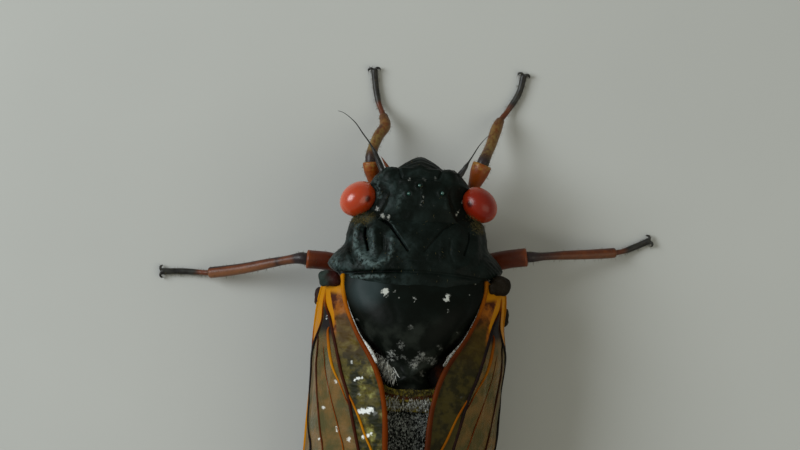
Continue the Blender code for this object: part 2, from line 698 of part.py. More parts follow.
def build_wings(model):
    """Forewings folded like a roof over the body, with the shorter hindwings beneath them."""
    for side_name, side in SIDES.items():
        read = wing_reader(WING_TUCK[side_name])
        name = "forewing_" + side_name
        add_part(model, name, forewing_mesh(name, read, side), "wing", 25.0)
        name = "hindwing_" + side_name
        add_part(model, name, hindwing_mesh(name, read, side), "wing", 25.0)
        name = "wing_hinge_" + side_name
        mesh = ball_mesh(name, mirrored(HINGE_MIDDLE, side), HINGE_SIZE, 14, 8)
        add_part(model, name, mesh, "hinge")


def hip_start(hip, toward):
    """The place a gap outside the hip's round side, on the way to the thigh."""
    ahead = (Vector(toward) - Vector(hip)).normalized()
    reach = math.sqrt(sum((ahead[axis] / COXA_SIZE[axis]) ** 2 for axis in range(3)))
    return tuple(Vector(hip) + ahead * (1.0 / reach + GAP + HIP_CLEARANCE))


def claw_meshes(middles):
    """The two hooked claws at the end of a foot."""
    toe, ahead, _ = middles[-1]
    across = ahead.cross(Vector((0.0, 0.0, 1.0)))
    claws = []
    for side_name, side in SIDES.items():
        root = toe - ahead * 0.2 + across * side * 0.08
        tip = toe + ahead * CLAW_REACH + across * side * CLAW_SPREAD
        tip.z = 0.1
        claws.append(spike_mesh("claw_" + side_name, root, tip, 0.14))
    return claws


def spine_meshes(middles, thickness, places, downward):
    """Short spines along a limb, rooted in it and leaning toward its end."""
    spines = []
    for index, place in enumerate(places):
        root, ahead, _ = middles[place]
        lean = (Vector(downward) + ahead * 0.5).normalized()
        tip = root + lean * (thickness / 2.0 + SPINE_LENGTH)
        spines.append(spike_mesh("spine_%d" % index, root, tip, SPINE_RADIUS))
    return spines


def build_legs(model):
    """Six legs, each of hip, thigh, shin and foot; the feet lie flat on the floor."""
    cuts = (0, KNEE_PLACE, ANKLE_PLACE, -1)
    for leg, (hip, line) in LEGS.items():
        root = ball_mesh(leg + "_coxa", hip, COXA_SIZE, 12, 8)
        for vertex in root.vertices:
            vertex.co.z = min(vertex.co.z, COXA_ROOF * MM)
        add_part(model, leg + "_coxa", root, "belly")
        line = (hip_start(hip, line[0]),) + line[1:]
        for index, (part, (finish, thicknesses)) in enumerate(LIMBS.items()):
            last = cuts[index + 1] % len(line)
            crowding = KNEE_CROWDING if part == "tibia" else 1.0
            middles = stretch(line, cuts[index], last, LIMB_STATIONS[part], crowding)
            floor = 0.0 if part == "tarsus" else None
            name = leg + "_" + part
            meshes = [tube_mesh(name, middles, thicknesses, 8, floor)]
            if part == "tarsus":
                meshes += claw_meshes(middles)
            if name.startswith("fore") and part == "femur":
                meshes += spine_meshes(middles, 1.0, FORE_SPINES, (0.0, 0.0, -1.0))
            if name.startswith("hind") and part == "tibia":
                side = math.copysign(1.0, hip[0])
                meshes += spine_meshes(middles, 0.5, HIND_SPINES, (side * 0.6, 0.0, -0.5))
            if len(meshes) > 1:
                fuse(model, name, meshes, finish)
            else:
                add_part(model, name, meshes[0], finish)


def centre_on_floor(model):
    """Move the root so that the origin lies under the middle of the outline."""
    low = [math.inf, math.inf]
    high = [-math.inf, -math.inf]
    for part in model["collection"].objects:
        if part.type != "MESH":
            continue
        for vertex in part.data.vertices:
            for axis in range(2):
                low[axis] = min(low[axis], vertex.co[axis])
                high[axis] = max(high[axis], vertex.co[axis])
    for axis in range(2):
        model["root"].location[axis] = -(low[axis] + high[axis]) / 2.0


def main():
    """Build the whole insect."""
    clear_scene()
    root = bpy.data.objects.new("cicada", None)
    model = {"collection": new_collection("periodical_cicada"),
             "cutters": new_collection("cutters"), "root": root}
    model["collection"].objects.link(root)
    build_head(model)
    build_eyes(model)
    build_feelers_and_beak(model)
    build_thorax(model)
    build_abdomen(model)
    build_wings(model)
    build_legs(model)
    centre_on_floor(model)


main()
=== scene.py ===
"""Looks of the periodical cicada: shell, eyes, veined wings, legs and pile over its solids.

Lengths are in millimetres in the insect's own frame: X towards its left side, Y back from the
front of its face, Z up from the floor. Form.mesh turns them into the scene's metres.
"""
import math

import bmesh
import bpy
import numpy as np
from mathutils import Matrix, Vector, noise


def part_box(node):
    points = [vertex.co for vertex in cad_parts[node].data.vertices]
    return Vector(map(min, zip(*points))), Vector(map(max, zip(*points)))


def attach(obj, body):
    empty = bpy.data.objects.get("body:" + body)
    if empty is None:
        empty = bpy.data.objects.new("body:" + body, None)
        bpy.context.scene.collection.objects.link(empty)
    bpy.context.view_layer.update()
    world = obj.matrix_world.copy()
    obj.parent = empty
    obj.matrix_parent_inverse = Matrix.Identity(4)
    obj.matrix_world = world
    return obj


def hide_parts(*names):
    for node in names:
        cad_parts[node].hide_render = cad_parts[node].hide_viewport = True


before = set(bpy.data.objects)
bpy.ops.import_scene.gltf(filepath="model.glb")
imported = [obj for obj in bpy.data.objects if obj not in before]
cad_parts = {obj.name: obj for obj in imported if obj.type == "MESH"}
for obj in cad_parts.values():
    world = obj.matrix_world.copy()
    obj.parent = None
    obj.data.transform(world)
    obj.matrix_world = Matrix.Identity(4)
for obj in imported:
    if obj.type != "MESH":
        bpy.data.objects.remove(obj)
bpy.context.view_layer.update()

MM = 0.001
SIDES = {"left": 1.0, "right": -1.0}
FULL_TURN = 2.0 * math.pi
EYES_ALONG = 2.58                     # the eyes' middle behind the front of the face

# Head: rows of along, half width, top, bottom
HEAD_ROWS = ((0.7, 2.06, 6.05, 4.3), (1.35, 2.74, 6.5, 3.4), (2.4, 3.25, 6.85, 2.95),
             (3.6, 3.75, 6.95, 2.9), (3.95, 3.7, 6.9, 3.0))
HEAD_POWER = 2.6
FACE_MIDDLE = (0.0, 1.75, 4.5)
FACE_SIZE = (2.33, 1.78, 2.0)
FACE_POWER = 1.28                     # seen from above, under 2 it comes to a blunt point
FACE_RIDGES = 28.0                    # how many would go round in a full turn
LOBE_MIDDLE = (1.7, 1.42, 5.75)
LOBE_SIZE = (0.62, 0.75, 0.6)
OCELLI = ((0.0, 1.74, 6.62), (0.62, 2.25, 6.8), (-1.38, 2.13, 6.78))
OCELLUS_SIZE = (0.11, 0.11, 0.12)
EYE_MIDDLE = (3.63, 2.7, 5.2)
EYE_SIZE = (1.19, 0.97, 1.12)
EYE_TURN = math.radians(42.0)         # by which the long axis swings back
EYE_RIM = 0.94                        # share of the eye at which the shell meets it
EYE_SEAT = 0.9                        # share of the eye's dome that the shell follows inside it
EYE_GAP = 0.08                        # how much deeper it lies there, in half heights
PUPIL_PLACE = (3.05, 2.68, 6.1)
FEELER_PATHS = {
    "left": ((2.05, 1.35, 5.3), (2.42, 0.62, 5.1), (2.76, -0.1, 5.12), (3.13, -0.7, 5.12),
             (3.53, -1.2, 5.05), (4.06, -1.88, 4.95), (4.7, -2.38, 4.8), (5.1, -2.52, 4.7)),
    "right": ((-2.1, 1.35, 5.3), (-2.4, 0.95, 5.1), (-2.64, 0.58, 5.12), (-2.86, 0.18, 5.12),
              (-3.09, -0.22, 5.05), (-3.42, -0.8, 4.95), (-3.72, -1.2, 4.9), (-4.0, -1.5, 4.85))}
FEELER_RADII = (0.2, 0.2, 0.18, 0.16, 0.12, 0.06, 0.045, 0.04, 0.035, 0.03, 0.024, 0.018, 0.014)
BEAK_RADII = (0.42, 0.46, 0.4, 0.36, 0.33, 0.26, 0.2, 0.14)
BEAK_JOINTS = (0.3, 0.62)             # as shares of its length
BEAK_PATH = ((0.0, 2.9, 2.6), (0.0, 3.4, 2.0), (0.0, 4.6, 1.7), (0.0, 6.6, 1.6), (0.0, 9.2, 1.5))

# Soft ridges and hollows, painted highlights and shade, and dark smudges: height or strength,
# width, then the points of a line
HEAD_MIDLINE = ((-0.16, 1.95), (-0.1, 3.0))
HEAD_SUTURE = ((0.0, 1.22), (0.45, 1.32), (1.1, 1.3), (1.25, 0.9), (1.32, 0.4))
HEAD_FOLDS = ((0.05, 0.1, (0.0, 1.45), (1.1, 1.5)), (0.04, 0.09, (0.0, 0.85), (0.5, 1.0)),
              (0.07, 0.45, (1.35, 2.85)), (-0.07, 0.12, (1.75, 1.9), (1.95, 2.6), (2.3, 3.3)),
              (0.06, 0.3, (2.15, 2.1)))
HEAD_HIGHLIGHTS = ((0.75, 0.2, (2.62, 1.45), (2.36, 2.5)), (0.5, 0.24, (1.03, 2.17), (1.27, 3.03)),
              (0.35, 0.07, *HEAD_MIDLINE), (0.35, 0.16, (-1.5, 2.4), (-1.6, 3.0)),
              (0.35, 0.12, (1.3, 1.0)), (0.3, 0.1, (1.9, 3.6), (2.4, 3.4)))
FISSURE = ((2.3, 3.75), (1.6, 4.2), (1.05, 4.9), (0.5, 5.6))
SLIT = ((3.12, 4.4), (3.1, 4.9), (2.88, 5.7))
OUTER_SWELLING = ((3.45, 4.35), (3.6, 5.0), (3.58, 5.6), (3.1, 6.25), (2.4, 6.6))
INNER_SWELLING = ((1.5, 4.9), (1.45, 5.6), (1.6, 6.15), (2.1, 6.4))
COLLAR_FOLDS = ((-0.17, 0.06, *FISSURE), (0.05, 0.1, (1.95, 3.8), (1.4, 4.3), (0.85, 4.9)),
                (-0.22, 0.055, *SLIT), (0.13, 0.2, *OUTER_SWELLING),
                (0.15, 0.3, (2.55, 4.6), (2.45, 5.5)), (0.08, 0.16, *INNER_SWELLING),
                (-0.07, 0.08, (2.02, 4.9), (1.98, 5.6), (2.2, 6.1)),
                (-0.1, 0.12, (3.95, 4.6), (4.0, 5.7), (3.7, 6.4)),
                (-0.05, 0.12, (0.0, 6.2), (0.5, 6.1), (1.0, 6.4)))
# painted highlights on the swellings (above zero) and painted shade in the slits and fissure
# (below zero)
COLLAR_LIGHT_AND_SHADE = ((0.8, 0.24, *OUTER_SWELLING), (0.6, 0.26, (2.72, 4.6), (2.55, 5.8)),
                (0.65, 0.22, *INNER_SWELLING), (0.95, 0.08, (1.6, 4.0), (1.2, 4.62), (0.5, 5.5)),
                (0.35, 0.5, (3.0, 6.2)), (-1.4, 0.065, *SLIT), (-1.6, 0.08, *FISSURE),
                (-0.9, 0.12, (3.36, 4.5), (3.3, 5.1)))
SHIELD_DIPS = ((-0.14, 0.3, (0.75, 12.75)), (-0.015, 0.2, (1.5, 7.9), (0.9, 9.6)))
BELLY_GROOVES = ((-0.1, 0.14, (8.2, 3.2), (10.4, 6.6)), (-0.1, 0.14, (4.4, 3.0), (5.6, 6.0)))
WING_SMUDGES = ((0.75, 0.55, (28.3, 6.7), (28.9, 5.9)), (0.75, 0.6, (28.7, 2.7), (29.7, 1.9)),
                (0.5, 0.4, (29.4, 5.2), (30.2, 3.5)))

# Collar, shield and band: rows of along, half width, top
COLLAR_FLOOR = 4.6
COLLAR_GROOVE = 6.85
FLANGE_LINES = (2.6, 8.6, 0.17)       # middle of the arcs on the flanges, and their spacing
COLLAR_ROWS = ((3.7, 3.75, 6.82), (4.0, 3.98, 7.0), (4.7, 4.2, 7.42), (5.5, 4.38, 7.72),
               (6.05, 4.9, 7.88), (6.45, 5.18, 7.95), (6.8, 5.24, 8.0), (7.2, 4.95, 8.05),
               (7.6, 4.3, 8.1))
SHIELD_FLOOR = 6.3
SHIELD_ROWS = ((7.2, 4.15, 7.9), (7.9, 4.2, 8.2), (8.8, 4.0, 8.65), (9.8, 3.6, 8.85),
               (10.8, 2.95, 8.8), (11.6, 2.3, 8.6), (12.4, 1.5, 8.3), (13.1, 1.35, 8.15),
               (13.85, 1.5, 7.9))
BAND_FLOOR = 5.9
BAND_RIB_SPACING = 0.55
BAND_ROWS = ((13.6, 2.2, 7.7), (14.15, 2.7, 7.75), (14.75, 2.85, 7.55), (15.2, 2.9, 7.3))

# Underside and abdomen: along, half width, top, bottom
BELLY_ROWS = ((3.7, 3.0, 6.2, 2.9), (5.5, 3.85, 6.6, 2.5), (7.6, 3.95, 7.4, 2.4),
              (10.0, 3.75, 7.4, 2.4), (12.0, 3.5, 7.3, 2.4), (14.75, 3.35, 7.2, 2.3),
              (15.3, 3.3, 7.1, 2.3))
ABDOMEN_ROWS = ((14.7, 3.3, 7.25, 2.3), (15.05, 3.4, 7.25, 2.2), (18.0, 3.55, 7.05, 1.9),
                (21.0, 3.5, 6.6, 1.8), (24.0, 3.05, 5.9, 1.9), (26.7, 2.1, 5.0, 2.3),
                (28.4, 1.15, 4.3, 2.75), (29.2, 0.6, 3.85, 3.05))
SEGMENT_ENDS = (14.7, 16.1, 17.7, 19.4, 21.2, 23.0, 24.7, 26.3, 27.7, 29.2)
SEGMENT_STEPS = np.array((0.0, 0.08, 0.2, 0.35, 0.5, 0.65, 0.78, 0.88, 0.95, 0.985))

# Folded wing: along, outer X, outer Z, inner X, inner Z, bulge
WING_ROWS = ((7.6, 5.38, 5.7, 4.27, 6.5, 0.1), (8.75, 5.64, 5.2, 4.08, 6.95, 0.2),
             (10.5, 5.85, 4.2, 3.34, 7.7, 0.8), (12.5, 5.92, 3.1, 2.12, 8.65, 1.3),
             (13.5, 5.92, 2.72, 1.72, 8.85, 1.47), (14.5, 5.95, 2.4, 1.48, 9.0, 1.6),
             (18.0, 6.1, 1.6, 1.2, 9.15, 1.8), (25.0, 6.38, 1.0, 0.55, 9.25, 1.9),
             (32.0, 6.0, 0.9, 0.5, 9.0, 1.8), (41.3, 5.1, 1.2, 0.55, 8.0, 1.2))
WING_TIP = (3.0, 41.3, 2.6)
OUTER_ROUNDING_START = 34.0
INNER_ROUNDING_START = 28.5
WING_START = 7.35
WING_END = 41.0
WING_TUCK = {"left": 0.0, "right": 0.13}
WING_PINCH = {"left": 0.0, "right": 0.055}
TUCK_START = 8.75
TUCK_END = 18.75
MEMBRANE_HALF = 0.02
VEIN_LIFT = 0.04                      # of a vein's middle over the forewing's surface
WING_WIDTH = 8.0                      # so that steps along and across a wing compare
HINDWING_START = 9.9
HINDWING_END = 28.9
HINDWING_DROP = 1.05                  # depth below the forewing
KNOBS = {"left": (7.54, 0.5, (5.66, 8.66, 4.85)), "right": (7.5, 0.59, (-5.5, 9.4, 4.35))}
# waxy share along each chalk line; the right side's lower values are painted shade
CHALK_AND_SHADE = {"left": (0.5, 0.7, 0.9, 1.0, 0.85), "right": (0.05, 0.2, 0.3, 0.3)}

# Forewing veins: places as (along, across), radii from root to end, hue from orange to black
CLAVAL_VEIN = ((8.3, 0.723), (8.87, 0.649), (9.69, 0.416), (10.23, 0.342), (10.78, 0.317),
               (11.46, 0.31), (12.28, 0.311), (13.16, 0.297), (14.31, 0.253), (15.67, 0.218),
               (16.56, 0.192), (17.51, 0.165), (19.8, 0.1), (21.6, 0.038), (22.6, 0.004))
RADIUS_VEIN = ((8.3, 0.745), (9.01, 0.704), (9.92, 0.581), (10.57, 0.616), (11.15, 0.719),
               (11.69, 0.847), (12.37, 1.0), (13.0, 1.0), (13.91, 1.0), (14.95, 0.865),
               (16.02, 0.809), (16.98, 0.689), (17.85, 0.625), (20.0, 0.621), (22.5, 0.67),
               (25.0, 0.79), (27.0, 0.91), (28.5, 0.99))
ROOT_STRIP = ((8.0, 0.5), (8.15, 0.52), (8.83, 0.43), (9.66, 0.31), (10.35, 0.28), (10.9, 0.29),
              (11.24, 0.3), (11.6, 0.31))
BRANCH_RADII = (0.05, 0.05, 0.04)
TWIG_RADII = (0.05, 0.045, 0.04)
FOREWING_VEINS = {
    "claval": (CLAVAL_VEIN, (0.04, 0.09, 0.11, 0.11, 0.1, 0.085, 0.06, 0.04),
               (0.1, 0.6, 0.8, 0.78, 0.76, 0.76, 0.74, 0.74, 0.74, 0.72, 0.72)),
    "radius": (RADIUS_VEIN, (0.04, 0.09, 0.1, 0.09, 0.07, 0.06, 0.05),
               (0.1, 0.8, 0.95, 0.95, 0.9, 0.9, 0.85, 0.85, 0.8, 0.8)),
    "stem": (((10.45, 0.383), (10.66, 0.402), (11.28, 0.402), (11.91, 0.407), (12.59, 0.395),
              (13.19, 0.36), (13.66, 0.323), (14.46, 0.276), (14.93, 0.243)),
             (0.06, 0.11, 0.12, 0.1, 0.075, 0.06, 0.05, 0.04),
             (0.42, 0.24, 0.12, 0.1, 0.15, 0.35, 0.6)),
    "cubitus": (((11.6, 0.506), (11.94, 0.502), (13.05, 0.487), (14.27, 0.425), (15.22, 0.377),
                 (15.76, 0.348), (16.72, 0.304), (17.59, 0.271), (19.6, 0.236), (22.0, 0.235),
                 (24.4, 0.22)), (0.02, 0.035, 0.05, 0.05), (0.5, 0.42, 0.3, 0.34)),
    "anal": (((13.6, 0.293), (14.04, 0.266), (14.57, 0.228), (15.37, 0.182), (15.84, 0.159),
              (16.65, 0.123), (17.44, 0.082), (18.6, 0.033), (19.4, 0.004)),
             (0.03, 0.07, 0.075, 0.07, 0.05), (0.3, 0.12, 0.1, 0.15)),
    "media": (((10.9, 0.661), (11.27, 0.623), (11.85, 0.642), (12.78, 0.668), (13.81, 0.632),
               (14.84, 0.583), (15.74, 0.541), (16.78, 0.494), (17.73, 0.452), (19.5, 0.434)),
              (0.06, 0.075, 0.07, 0.065, 0.055), (0.8, 0.68, 0.62, 0.62)),
    "sector": (((19.6, 0.62), (20.6, 0.63), (23.0, 0.64), (27.0, 0.7), (31.0, 0.76),
                (35.0, 0.82), (37.6, 0.86)), (0.05, 0.055, 0.05, 0.04), (0.5, 0.6, 0.7)),
    "media_outer": (((19.5, 0.434), (21.0, 0.493), (24.0, 0.55), (28.0, 0.57), (32.0, 0.6),
                     (36.0, 0.66), (39.0, 0.74)), BRANCH_RADII, (0.5, 0.6, 0.7)),
    "media_inner": (((19.5, 0.434), (21.0, 0.391), (24.0, 0.38), (28.0, 0.38), (32.0, 0.4),
                     (36.0, 0.46), (39.6, 0.58)), BRANCH_RADII, (0.5, 0.6, 0.75)),
    "media_first": (((25.0, 0.553), (27.0, 0.64), (31.0, 0.68), (35.0, 0.73), (38.4, 0.81)),
                    TWIG_RADII, (0.6, 0.7)),
    "media_last": (((26.0, 0.38), (28.0, 0.3), (32.0, 0.3), (36.0, 0.35), (39.9, 0.46)),
                   TWIG_RADII, (0.6, 0.7)),
    "cubitus_outer": (((24.4, 0.22), (27.0, 0.22), (31.0, 0.2), (35.0, 0.2), (39.3, 0.25)),
                      TWIG_RADII, (0.5, 0.7)),
    "cubitus_inner": (((24.4, 0.22), (26.5, 0.13), (30.0, 0.085), (34.0, 0.06), (37.0, 0.03)),
                      TWIG_RADII, (0.5, 0.7)),
    "radial_cross": (((26.0, 0.95), (26.6, 0.85), (27.4, 0.74)), (0.045,), (0.75,)),
    "sector_cross": (((28.0, 0.745), (28.9, 0.66)), (0.05,), (0.85,)),
    "media_cross": (((29.4, 0.585), (30.2, 0.39)), (0.045,), (0.8,)),
    "last_cross": (((28.6, 0.385), (29.2, 0.3)), (0.05,), (0.85,)),
    "cubital_cross": (((28.6, 0.3), (29.8, 0.205)), (0.05,), (0.9,)),
    "sector_media": (((32.4, 0.78), (33.2, 0.705)), (0.05,), (0.9,)),
    "border": (((29.0, 0.03), (33.0, 0.045), (36.5, 0.06), (39.0, 0.13), (40.2, 0.32),
                (40.5, 0.5), (40.2, 0.7), (39.2, 0.86), (37.5, 0.93), (35.0, 0.96),
                (32.0, 0.97)), (0.04,), (0.6,))}

# Edge veins: radii and hues at these places along the wing
EDGE_STATIONS = (7.75, 9.0, 10.0, 11.0, 12.0, 13.4, 14.8, 16.5, 19.0, 24.0, 32.0, 41.0)
COSTAL_EDGE = {"left": ((0.1, 0.11, 0.1, 0.09, 0.1, 0.1, 0.13, 0.16, 0.14, 0.1, 0.07, 0.06),
                        (0.0, 0.0, 0.0, 0.3, 0.8, 0.85, 0.15, 0.05, 0.15, 0.2, 0.3, 0.4)),
               "right": ((0.1, 0.1, 0.09, 0.09, 0.1, 0.1, 0.08, 0.08, 0.08, 0.08, 0.07, 0.06),
                         (0.05, 0.05, 0.05, 0.6, 0.9, 0.9, 0.9, 0.85, 0.6, 0.3, 0.3, 0.4))}
INNER_EDGE = ((0.17, 0.13, 0.12, 0.15, 0.16, 0.16, 0.15, 0.18, 0.14, 0.1, 0.06, 0.045),
              (0.1, 0.25, 0.4, 0.5, 0.54, 0.46, 0.47, 0.53, 0.5, 0.5, 0.5, 0.5))

# Legs: hip, then the middle line from hip to toe, cut into parts at the knee and the ankle
KNEE_PLACE = 3
ANKLE_PLACE = 7
LIMB_COUNT = 56
LIMB_SIDES = 22
FOOT_LEVEL = 0.22
FOOT_RADII = (0.17, 0.165, 0.16, 0.155, 0.17, 0.185, 0.185, 0.19, 0.19, 0.185, 0.19, 0.2, 0.2)
LEGS = {
    "fore_left": ((1.75, 4.85, 1.75),
                  ((2.3, 3.9, 1.9), (2.6, 2.4, 2.1), (2.85, 1.2, 2.45), (2.98, 0.45, 2.6),
                   (2.97, -0.25, 2.45), (2.65, -1.2, 1.8), (2.28, -1.85, 1.25),
                   (2.42, -2.5, 0.8), (2.75, -3.3, 0.36), (2.97, -4.25, FOOT_LEVEL),
                   (3.12, -5.3, FOOT_LEVEL))),
    "fore_right": ((-1.75, 4.9, 1.75),
                   ((-2.3, 3.9, 1.9), (-2.95, 2.6, 2.1), (-3.43, 1.21, 2.45), (-3.75, 0.25, 2.6),
                    (-3.95, -0.3, 2.4), (-4.22, -0.95, 1.8), (-4.5, -1.9, 1.2),
                    (-4.77, -2.58, 0.75), (-5.2, -3.2, 0.36), (-5.82, -4.3, FOOT_LEVEL),
                    (-6.08, -5.42, FOOT_LEVEL))),
    "mid_left": ((2.2, 8.9, 1.7),
                 ((3.1, 8.1, 1.75), (4.15, 7.0, 2.25), (5.2, 6.58, 2.75), (6.55, 6.5, 2.95),
                  (7.1, 6.48, 2.88), (8.7, 6.84, 2.15), (10.6, 7.32, 1.35), (12.5, 7.66, 0.75),
                  (13.2, 7.68, 0.36), (14.3, 7.68, FOOT_LEVEL), (15.5, 7.75, FOOT_LEVEL))),
    "mid_right": ((-2.2, 8.9, 1.7),
                  ((-3.1, 8.0, 1.75), (-4.1, 6.5, 2.25), (-5.2, 5.98, 2.75), (-6.7, 5.7, 2.95),
                   (-7.3, 5.64, 2.86), (-8.8, 5.48, 2.15), (-10.6, 5.33, 1.35),
                   (-12.15, 5.16, 0.75), (-12.9, 4.98, 0.36), (-13.6, 4.66, FOOT_LEVEL),
                   (-14.3, 4.32, FOOT_LEVEL))),
    "hind_left": ((1.9, 12.6, 1.7),
                  ((2.8, 12.1, 1.7), (3.7, 11.3, 2.1), (4.5, 10.5, 2.5), (5.0, 9.9, 2.75),
                   (5.45, 9.5, 3.05), (5.5, 10.6, 2.9), (5.35, 13.8, 1.85), (5.0, 17.2, 0.75),
                   (4.85, 18.2, 0.36), (4.7, 19.4, FOOT_LEVEL), (4.55, 20.6, FOOT_LEVEL))),
    "hind_right": ((-1.9, 12.6, 1.7),
                   ((-2.8, 12.2, 1.7), (-3.65, 11.5, 2.1), (-4.4, 10.75, 2.5),
                    (-4.75, 10.2, 2.75), (-5.1, 9.85, 3.05), (-5.15, 10.9, 2.9),
                    (-5.0, 14.0, 1.85), (-4.9, 17.4, 0.75), (-4.75, 18.4, 0.36),
                    (-4.6, 19.6, FOOT_LEVEL), (-4.45, 20.8, FOOT_LEVEL)))}
CLAW_RADII = (0.1, 0.085, 0.06, 0.02)
CLAW = ((0.0, 0.04, 0.04), (0.1, 0.2, 0.1), (0.05, 0.34, 0.02), (-0.05, 0.37, -0.14))

# One hair: two rings of three points and a tip, its faces and its patch of the unwrap
ROOT_DEPTH = 0.04
HAIR_LEVEL = 0.001                    # hair stays this far above the floor
HAIR_ANGLES = FULL_TURN * np.arange(3) / 3.0
HAIR_FACES = np.array([(0, 1, 4), (0, 4, 3), (1, 2, 5), (1, 5, 4), (2, 0, 3), (2, 3, 5),
                       (3, 4, 6), (4, 5, 6), (5, 3, 6), (0, 2, 1)])
HAIR_PATCH = np.array([(0.0, 0.0), (0.0015, 0.0), (0.003, 0.0), (0.0, 0.0015),
                       (0.0015, 0.0015), (0.003, 0.0015), (0.0015, 0.003)])

FLOOR_REACH = 0.6                     # metres
LIGHT_AIM = (0.0, 8.0, 4.0)
VIEW_MIDDLE = (1.045, 4.14)           # the point under the middle of the picture
VIEW_LEVEL = 5.0                      # height at which the picture is VIEW_WIDTH wide
VIEW_WIDTH = 48.0
VIEW_ROLL = math.radians(3.0)
LENS = 146.0
SENSOR = 36.0


def body_origin():
    """The scene's place of the insect's own zero, found between its eyes."""
    middle = (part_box("eye_right")[0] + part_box("eye_left")[1]) / 2.0
    return np.array([middle.x, middle.y - EYES_ALONG * MM, 0.0])


ORIGIN = body_origin()


class Form:
    """Points in millimetres, the faces between them, and named values at each point."""

    def __init__(self, points, faces, **marks):
        self.points = np.asarray(points, dtype=float).reshape(-1, 3)
        self.faces = faces
        self.marks = marks

    def mesh(self, name):
        """Turn the form into a mesh in metres with its faces outward."""
        mesh = bpy.data.meshes.new(name)
        mesh.from_pydata((self.points * MM + ORIGIN).tolist(), [], self.faces)
        work = bmesh.new()
        work.from_mesh(mesh)
        bmesh.ops.recalc_face_normals(work, faces=work.faces)
        work.to_mesh(mesh)
        work.free()
        return mesh


def joined(forms):
    """Put forms side by side in one, with their marks."""
    faces = []
    start = 0
    for form in forms:
        faces += [tuple(index + start for index in face) for face in form.faces]
        start += len(form.points)
    marks = {name: np.concatenate([np.broadcast_to(form.marks.get(name, 0.0), len(form.points))
                                   for form in forms])
             for name in sorted({name for form in forms for name in form.marks})}
    return Form(np.vstack([form.points for form in forms]), faces, **marks)


def put(name, data):
    """Put a new object into the scene."""
    thing = bpy.data.objects.new(name, data)
    bpy.context.scene.collection.objects.link(thing)
    return thing


def piece(name, form, finish, replaced=()):
    """Make one named piece of the insect from a form."""
    mesh = form.mesh(name)
    for mark, values in form.marks.items():
        layer = mesh.attributes.new(mark, "FLOAT", "POINT")
        layer.data.foreach_set("value", np.broadcast_to(values, len(form.points)).astype("f"))
    mesh.materials.append(bpy.data.materials[finish])
    mesh.shade_smooth()
    thing = put(name, mesh)
    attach(thing, "root")
    if replaced:
        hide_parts(*replaced)
    return thing


def track(rows):
    """Turn rows of (place, value, ...) into a smooth function of many places at once."""
    table = np.array(rows, dtype=float)
    places = table[:, 0]
    values = table[:, 1:]
    slopes = np.gradient(values, places, axis=0)

    def read(at):
        at = np.atleast_1d(np.asarray(at, dtype=float))
        index = np.clip(np.searchsorted(places, at) - 1, 0, len(places) - 2)
        width = (places[index + 1] - places[index])[:, None]
        part = np.clip((at - places[index])[:, None] / width, 0.0, 1.0)
        rise = part * part * (3.0 - 2.0 * part)
        start = slopes[index] * width * part * (1.0 - part) ** 2
        end = slopes[index + 1] * width * part * part * (part - 1.0)
        return values[index] * (1.0 - rise) + values[index + 1] * rise + start + end

    return read


def smooth_path(points, count, first=0.0, last=None, crowding=1.0):
    """Places along a smooth line through the points, between two of them."""
    points = np.asarray(points, dtype=float)
    last = len(points) - 1 if last is None else last
    fine = track(np.column_stack([np.arange(len(points)), points]))(
        np.linspace(first, last, 24 * len(points)))
    lengths = np.insert(np.cumsum(np.linalg.norm(np.diff(fine, axis=0), axis=1)), 0, 0.0)
    at = lengths[-1] * np.linspace(0.0, 1.0, count) ** crowding
    return np.column_stack([np.interp(at, lengths, column) for column in fine.T])


def spread(values, count):
    """Read a short list of values at evenly spaced places, rounded between them."""
    return track(list(enumerate(values)))(np.linspace(0.0, len(values) - 1.0, count))[:, 0]


def eased(values, low, high):
    """0 below low, 1 above high, smooth between."""
    part = np.clip((values - low) / (high - low), 0.0, 1.0)
    return part * part * (3.0 - 2.0 * part)


def hump(distance, width):
    """A soft hump that falls away with distance."""
    return np.exp(-(distance / width) ** 2)


def from_line(x, y, *points):
    """Distance in plan from a point, or from a line bent at every further point."""
    nearest = np.hypot(x - points[0][0], y - points[0][1])
    for start, end in zip(points[:-1], points[1:]):
        wide, long = np.subtract(end, start)
        part = ((x - start[0]) * wide + (y - start[1]) * long) / (wide ** 2 + long ** 2)
        part = np.clip(part, 0.0, 1.0)
        nearest = np.minimum(nearest, np.hypot(x - start[0] - wide * part,
                                               y - start[1] - long * part))
    return nearest


def traced(x, y, rows):
    """Add up soft humps along lines, from rows of height, width and a line's points."""
    return sum(height * hump(from_line(x, y, *points), width) for height, width, *points in rows)


def rough(points, *waves):
    """Smooth random heights over points, as waves of (height, size, seed)."""
    total = 0.0
    for height, size, seed in waves:
        shift = Vector((seed * 7.3, seed * 3.1, seed * 5.7))
        total += height * np.array([noise.noise(Vector(point) / size + shift)
                                    for point in points.reshape(-1, 3)])
    return total.reshape(points.shape[:-1])


def grid_faces(rows, columns, ring=False):
    """Faces over a grid of points; a ring joins each row's end to its start."""
    faces = []
    for here in range(0, (rows - 1) * columns, columns):
        for column in range(columns if ring else columns - 1):
            beside = here + (column + 1) % columns
            faces.append((here + column, beside, beside + columns, here + column + columns))
    return faces


def grid_normals(grid, ring=False):
    """Outward directions over a grid of points, taken from its neighbours."""
    across = np.gradient(grid, axis=1)
    if ring:
        across = np.roll(grid, -1, axis=1) - np.roll(grid, 1, axis=1)
    normals = np.cross(np.gradient(grid, axis=0), across)
    return normals / np.maximum(np.linalg.norm(normals, axis=2, keepdims=True), 1e-9)


def unit(vectors):
    """Vectors brought to a length of one."""
    return vectors / np.linalg.norm(vectors, axis=-1, keepdims=True)


